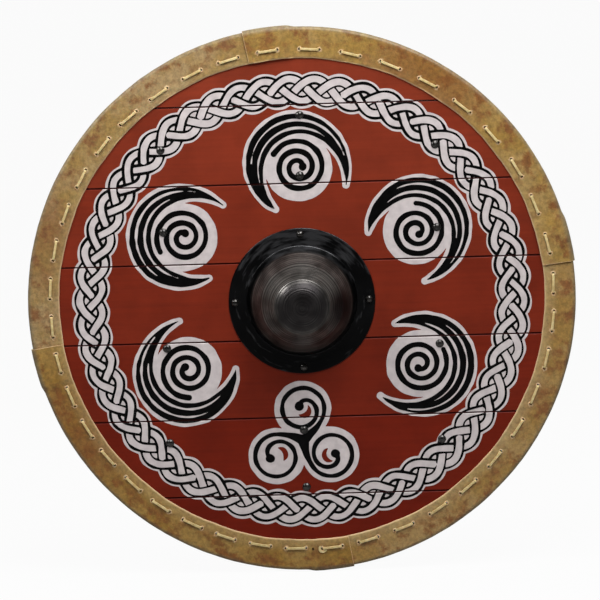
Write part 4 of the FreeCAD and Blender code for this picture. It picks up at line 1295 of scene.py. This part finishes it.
def rawhide(name, skin, cloud, blotch, stain, stain_angle, stain_width, fade):
    """Rawhide, stretched wet and dried: hard and half gloss, mottled tan, with paler cut edges."""
    material, tree = new_material(name)
    where = add_node(tree, "ShaderNodeTexCoord")
    flat = add_node(tree, "ShaderNodeVectorMath", {0: (where, "Object"), 1: (1, 0, 1)},
                    operation="MULTIPLY")
    radius = add_node(tree, "ShaderNodeVectorMath", {0: flat}, operation="LENGTH")
    # blotches about 20 mm across, clouds about 60 mm, mottling about 6 mm, and pores of under
    # 1 mm, drawn 2 mm wide to show
    blotches = add_node(tree, "ShaderNodeTexNoise", {0: (where, "Object"), "Scale": 46, "Detail": 6,
                                                     "Roughness": 0.65})
    clouds = add_node(tree, "ShaderNodeTexNoise", {0: (where, "Object"), "Scale": 17, "Detail": 4})
    mottle = add_node(tree, "ShaderNodeTexNoise", {0: (where, "Object"), "Scale": 160, "Detail": 5,
                                                   "Roughness": 0.7})
    pores = add_node(tree, "ShaderNodeTexVoronoi", {0: (where, "Object"), "Scale": 520})
    cloud_mask = add_node(tree, "ShaderNodeMapRange", {0: clouds, 1: 0.42, 2: 0.58})
    # reddish blotches, more of them towards the fold
    blotch_mask = add_node(tree, "ShaderNodeMapRange", {0: blotches, 1: 0.49, 2: 0.6})
    outer_part = add_node(tree, "ShaderNodeMapRange", {0: radius, 1: 345 * MM, 2: 366 * MM,
                                                       3: 0.45, 4: 1.0})
    blotched = add_node(tree, "ShaderNodeMath", {0: blotch_mask, 1: outer_part}, operation="MULTIPLY")
    # a broad browner patch, where the hide was thick
    thick_spot = outward(stain_angle)[0] * STITCH_CIRCLE * MM
    apart = add_node(tree, "ShaderNodeVectorMath", {0: (where, "Object"), 1: thick_spot},
                     operation="DISTANCE")
    ragged = add_node(tree, "ShaderNodeMath", {0: clouds, 1: 0.16}, operation="MULTIPLY")
    reach = add_node(tree, "ShaderNodeMath", {0: apart, 1: ragged}, operation="ADD")
    thick = add_node(tree, "ShaderNodeMapRange", {
        0: reach, 1: (stain_width + 80) * MM, 2: (stain_width * 0.3 + 80) * MM, 4: 0.7})
    # scraped thin and paler towards the trimmed edge
    thin = add_node(tree, "ShaderNodeMapRange", {0: radius, 1: 356 * MM, 2: 339 * MM})
    scraped = add_node(tree, "ShaderNodeMath", {0: thin, 1: fade}, operation="MULTIPLY")
    # the fold at the outside is greyer
    fold = add_node(tree, "ShaderNodeMapRange", {0: radius, 1: 374 * MM, 2: 380 * MM,
                                                 4: 0.7})
    colour = add_node(tree, "ShaderNodeMix", {0: cloud_mask, 6: linear(skin), 7: linear(cloud)},
                      data_type="RGBA")
    for mask, tone in ((blotched, blotch), (thick, stain), (scraped, "#AA966A"), (fold, "#736B54")):
        colour = add_node(tree, "ShaderNodeMix", {0: mask, 6: colour, 7: linear(tone)},
                          data_type="RGBA")
    speck_mask = add_node(tree, "ShaderNodeMapRange", {0: mottle, 1: 0.32, 2: 0.68, 3: 0.66, 4: 1.31})
    colour = add_node(tree, "ShaderNodeMix", {0: 1.0, 6: colour, 7: speck_mask},
                      data_type="RGBA", blend_type="MULTIPLY")
    # pale on the cut edges and the lips, and painted shade inside the holes
    cut_edge = add_node(tree, "ShaderNodeAttribute", attribute_name="cut_edge")
    pale = add_node(tree, "ShaderNodeMapRange", {0: (cut_edge, "Fac"), 1: 0.15, 2: 0.75, 4: 0.85})
    hole_painted_shade = add_node(tree, "ShaderNodeMapRange", {0: (cut_edge, "Fac"), 1: -0.1, 2: -0.9})
    for mask, tone in ((pale, "#CFAE86"), (hole_painted_shade, "#1C130B")):
        colour = add_node(tree, "ShaderNodeMix", {0: mask, 6: colour, 7: linear(tone)},
                          data_type="RGBA")
    rough = add_node(tree, "ShaderNodeMapRange", {0: blotches, 1: 0.3, 2: 0.7, 3: 0.42, 4: 0.58})
    grain = add_node(tree, "ShaderNodeBump", {"Height": (pores, "Distance"), "Distance": 0.15 * MM,
                                              "Strength": 0.5})
    bump = add_node(tree, "ShaderNodeBump", {"Height": mottle, "Distance": 0.8 * MM,
                                             "Strength": 0.5, "Normal": grain})
    surface = add_node(tree, "ShaderNodeBsdfPrincipled", {
        "Base Color": colour, "Roughness": rough, "Normal": bump, "Specular IOR Level": 0.35,
        "Subsurface Weight": 0.08, "Subsurface Scale": 1.5 * MM})
    add_node(tree, "ShaderNodeOutputMaterial", {"Surface": surface})
    return material


# skin, clouds, blotches and thick patch, the patch's angle and half width, and how much paler the
# trimmed edge is
HIDE_TONES = {
    "top_right": ("#987C49", "#8F7035", "#774C23", "#764716", 30, 122, 0.1),
    "bottom_right": ("#997C4D", "#907039", "#7B5029", "#7B5029", 115, 40, 0.5),
    "bottom_left": ("#92733B", "#8A682A", "#764A1E", "#764A1E", 240, 110, 0.35),
    "top_left": ("#967D56", "#8D713F", "#78512E", "#734729", 285, 84, 0.25)}
awl = awl_holes()
for number, length in enumerate(RIM_LENGTHS):
    name = length.name
    hide = new_piece(f"rawhide_{name}", hide_mesh(number),
                     rawhide(f"rawhide_dried_{name}", *HIDE_TONES[name]))
    punched(hide, awl)
    add_lips(hide, number)
    hide.data.shade_smooth()
    hide.data.set_sharp_from_angle(angle=math.radians(55))
    mark_cuts(hide, (length.first_seam, length.last_seam) if length.on_top else ())
    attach(hide, "root")
    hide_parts(f"rim_{name}")
bpy.data.objects.remove(awl)


# Thongs: pale strips cut from thin hide, one for each length of the rim, pulled wet through the
# holes in a running stitch and dried hard. They stand a little proud of the rim.
THONG_WIDE = 3.5
THONG_THICK = 1.4
THONG_TAIL = 9
THONG_BEND = 1.6
THONG_EDGE = 0.45
# a hole squeezes a thong to this share of its width
HOLE_SQUEEZE = 0.7
# in the middle of a stitch a thong stands this much prouder than at its holes
STITCH_BOW = 0.15
# each thong lies against the near side of its hole, clear of the lip in front
HOLE_SIDE = 0.85
LIP_CLEAR = 1.35
REAR_CLEAR = 0.95


def thong_path(number):
    """The middle line of one thong: corner points, the way out from the shield's middle at each,
    and how far the strip is squeezed there."""
    line = []

    def put(spot, depth, squeeze=1.0):
        line.append((Vector((spot.x, depth, spot.z)) * MM, Vector((spot.x, 0, spot.z)).normalized(),
                     squeeze))

    pairs = stitches(number)
    raised = raised_stitches(RIM_LENGTHS[number])
    for stitch, (near, far) in enumerate(pairs):
        rear = BOARD_REAR + HIDE + raised[stitch] + REAR_CLEAR
        run = Vector((far.x - near.x, 0, far.z - near.z)).normalized()
        into = near + run * HOLE_SIDE
        out = far - run * HOLE_SIDE
        middle = (near + far) / 2
        if stitch == 0:
            put(near - run * THONG_TAIL, rear)
        put(into, rear, HOLE_SQUEEZE)
        put(into, (near.y + rear) / 2, HOLE_SQUEEZE)
        put(into, near.y - LIP_CLEAR)
        put(middle, middle.y - LIP_CLEAR - STITCH_BOW)
        put(out, far.y - LIP_CLEAR)
        put(out, (far.y + rear) / 2, HOLE_SQUEEZE)
        put(out, rear, HOLE_SQUEEZE)
        if stitch == len(pairs) - 1:
            put(far + run * THONG_TAIL, rear)
        elif raised[stitch] != raised[stitch + 1]:
            # behind, the strip steps down where the lower length of hide ends
            following = pairs[stitch + 1][0]
            between = (far + following) / 2
            along = (following - far).normalized() * STITCH_JOG / 2
            low = BOARD_REAR + HIDE + REAR_CLEAR
            put(between - along, low + raised[stitch])
            put(between + along, low + raised[stitch + 1])
    return line


# the knotted tail: its bend in degrees, how far it stands from the hole at its start and how much
# farther at its end, and likewise in front of the hide, and its share of the thong's width
TAIL_TURNS = range(60, -161, -20)
TAIL_OFF = 3.5
TAIL_OPENS = 2.0
TAIL_FRONT = 0.95
TAIL_SINKS = 0.3
TAIL_THIN = 0.38


def thong_end():
    """The end of the bottom left thong: a thin tail knotted round the far hole of its first stitch."""
    near, far = stitches(BOTTOM_LEFT)[0]
    run = Vector((far.x - near.x, 0, far.z - near.z)).normalized()
    inward = -Vector((far.x, 0, far.z)).normalized()
    line = []
    for turn in TAIL_TURNS:
        away = run * math.cos(math.radians(turn)) + inward * math.sin(math.radians(turn))
        opened = max(0, turn / TAIL_TURNS[-1])
        spot = far + away * (TAIL_OFF + TAIL_OPENS * opened)
        line.append((Vector((spot.x, far.y - TAIL_FRONT + TAIL_SINKS * opened, spot.z)) * MM, away,
                     TAIL_THIN))
    return line


def thong_tree():
    """Sweeps a flat strip with rounded edges along a path, kept flat on the rim, bends rounded."""
    tree = bpy.data.node_groups.new("thong_along_its_stitches", "GeometryNodeTree")
    inputs = tree_inputs(tree, {
        "Path": "NodeSocketGeometry", "Strip Width": "NodeSocketFloat",
        "Strip Thickness": "NodeSocketFloat", "Edge Rounding": "NodeSocketFloat",
        "Bend Radius": "NodeSocketFloat", "Material": "NodeSocketMaterial"})
    tree.interface.new_socket("Thong", in_out="OUTPUT", socket_type="NodeSocketGeometry")
    given = add_node(tree, "NodeGroupInput")
    line = add_node(tree, "GeometryNodeMeshToCurve", {0: (given, "Path")})
    bent = add_node(tree, "GeometryNodeFilletCurve", {
        "Curve": line, "Radius": (given, "Bend Radius"), "Count": 4}, mode="POLY")
    away = add_node(tree, "GeometryNodeInputNamedAttribute", {"Name": "outward"},
                    data_type="FLOAT_VECTOR")
    flat = add_node(tree, "GeometryNodeSetCurveNormal", {"Curve": bent, "Normal": away}, mode="FREE")
    squeeze = add_node(tree, "GeometryNodeInputNamedAttribute", {"Name": "squeeze"}, data_type="FLOAT")
    pulled = add_node(tree, "GeometryNodeSetCurveRadius", {"Curve": flat, "Radius": squeeze})
    strip = add_node(tree, "GeometryNodeCurvePrimitiveQuadrilateral", {
        "Width": (given, "Strip Width"), "Height": (given, "Strip Thickness")})
    eased = add_node(tree, "GeometryNodeFilletCurve", {
        "Curve": strip, "Radius": (given, "Edge Rounding"), "Count": 3}, mode="POLY")
    swept = add_node(tree, "GeometryNodeCurveToMesh", {
        "Curve": pulled, "Profile Curve": eased, "Fill Caps": True})
    whole = add_node(tree, "GeometryNodeRealizeInstances", {0: swept})
    finished = add_node(tree, "GeometryNodeSetMaterial", {0: whole, "Material": (given, "Material")})
    add_node(tree, "NodeGroupOutput", {0: finished})
    return tree, inputs


def pale_thong():
    """Thin hide cut in strips: pale straw, mottled, half gloss."""
    material, tree = new_material("hide_thong_cut")
    where = add_node(tree, "ShaderNodeTexCoord")
    # mottling about 6 mm across
    mottle = add_node(tree, "ShaderNodeTexNoise", {0: (where, "Object"), "Scale": 170, "Detail": 4})
    mask = add_node(tree, "ShaderNodeMapRange", {0: mottle, 1: 0.35, 2: 0.7})
    colour = add_node(tree, "ShaderNodeMix", {0: mask, 6: linear("#D0BC88"), 7: linear("#B39A62")},
                      data_type="RGBA")
    bump = add_node(tree, "ShaderNodeBump", {"Height": mottle, "Distance": 0.3 * MM, "Strength": 0.5})
    surface = add_node(tree, "ShaderNodeBsdfPrincipled", {
        "Base Color": colour, "Roughness": 0.5, "Normal": bump,
        "Subsurface Weight": 0.1, "Subsurface Scale": 1 * MM})
    add_node(tree, "ShaderNodeOutputMaterial", {"Surface": surface})
    return material


thong_finish = pale_thong()
sweep_thong, thong_inputs = thong_tree()
for number, length in enumerate(RIM_LENGTHS):
    name = length.name
    line = thong_path(number)
    breaks = {len(line) - 1}
    if name == "bottom_left":
        line += thong_end()
        breaks.add(len(line) - 1)
    points, directions, squeezes = zip(*line)
    path = bpy.data.meshes.new(f"thong_{name}_path")
    path.from_pydata(points, [(index, index + 1) for index in range(len(line)) if index not in breaks],
                     [])
    path.attributes.new("outward", "FLOAT_VECTOR", "POINT").data.foreach_set(
        "vector", np.array(directions).ravel())
    path.attributes.new("squeeze", "FLOAT", "POINT").data.foreach_set("value", squeezes)
    thong = grown(f"thong_{name}", path, sweep_thong, thong_inputs, {
        "Strip Width": THONG_WIDE * MM, "Strip Thickness": THONG_THICK * MM,
        "Edge Rounding": THONG_EDGE * MM, "Bend Radius": THONG_BEND * MM, "Material": thong_finish})
    thong.data.shade_smooth()
    thong.data.set_sharp_from_angle(angle=math.radians(50))
    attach(thong, "root")
    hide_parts(f"lace_{name}")
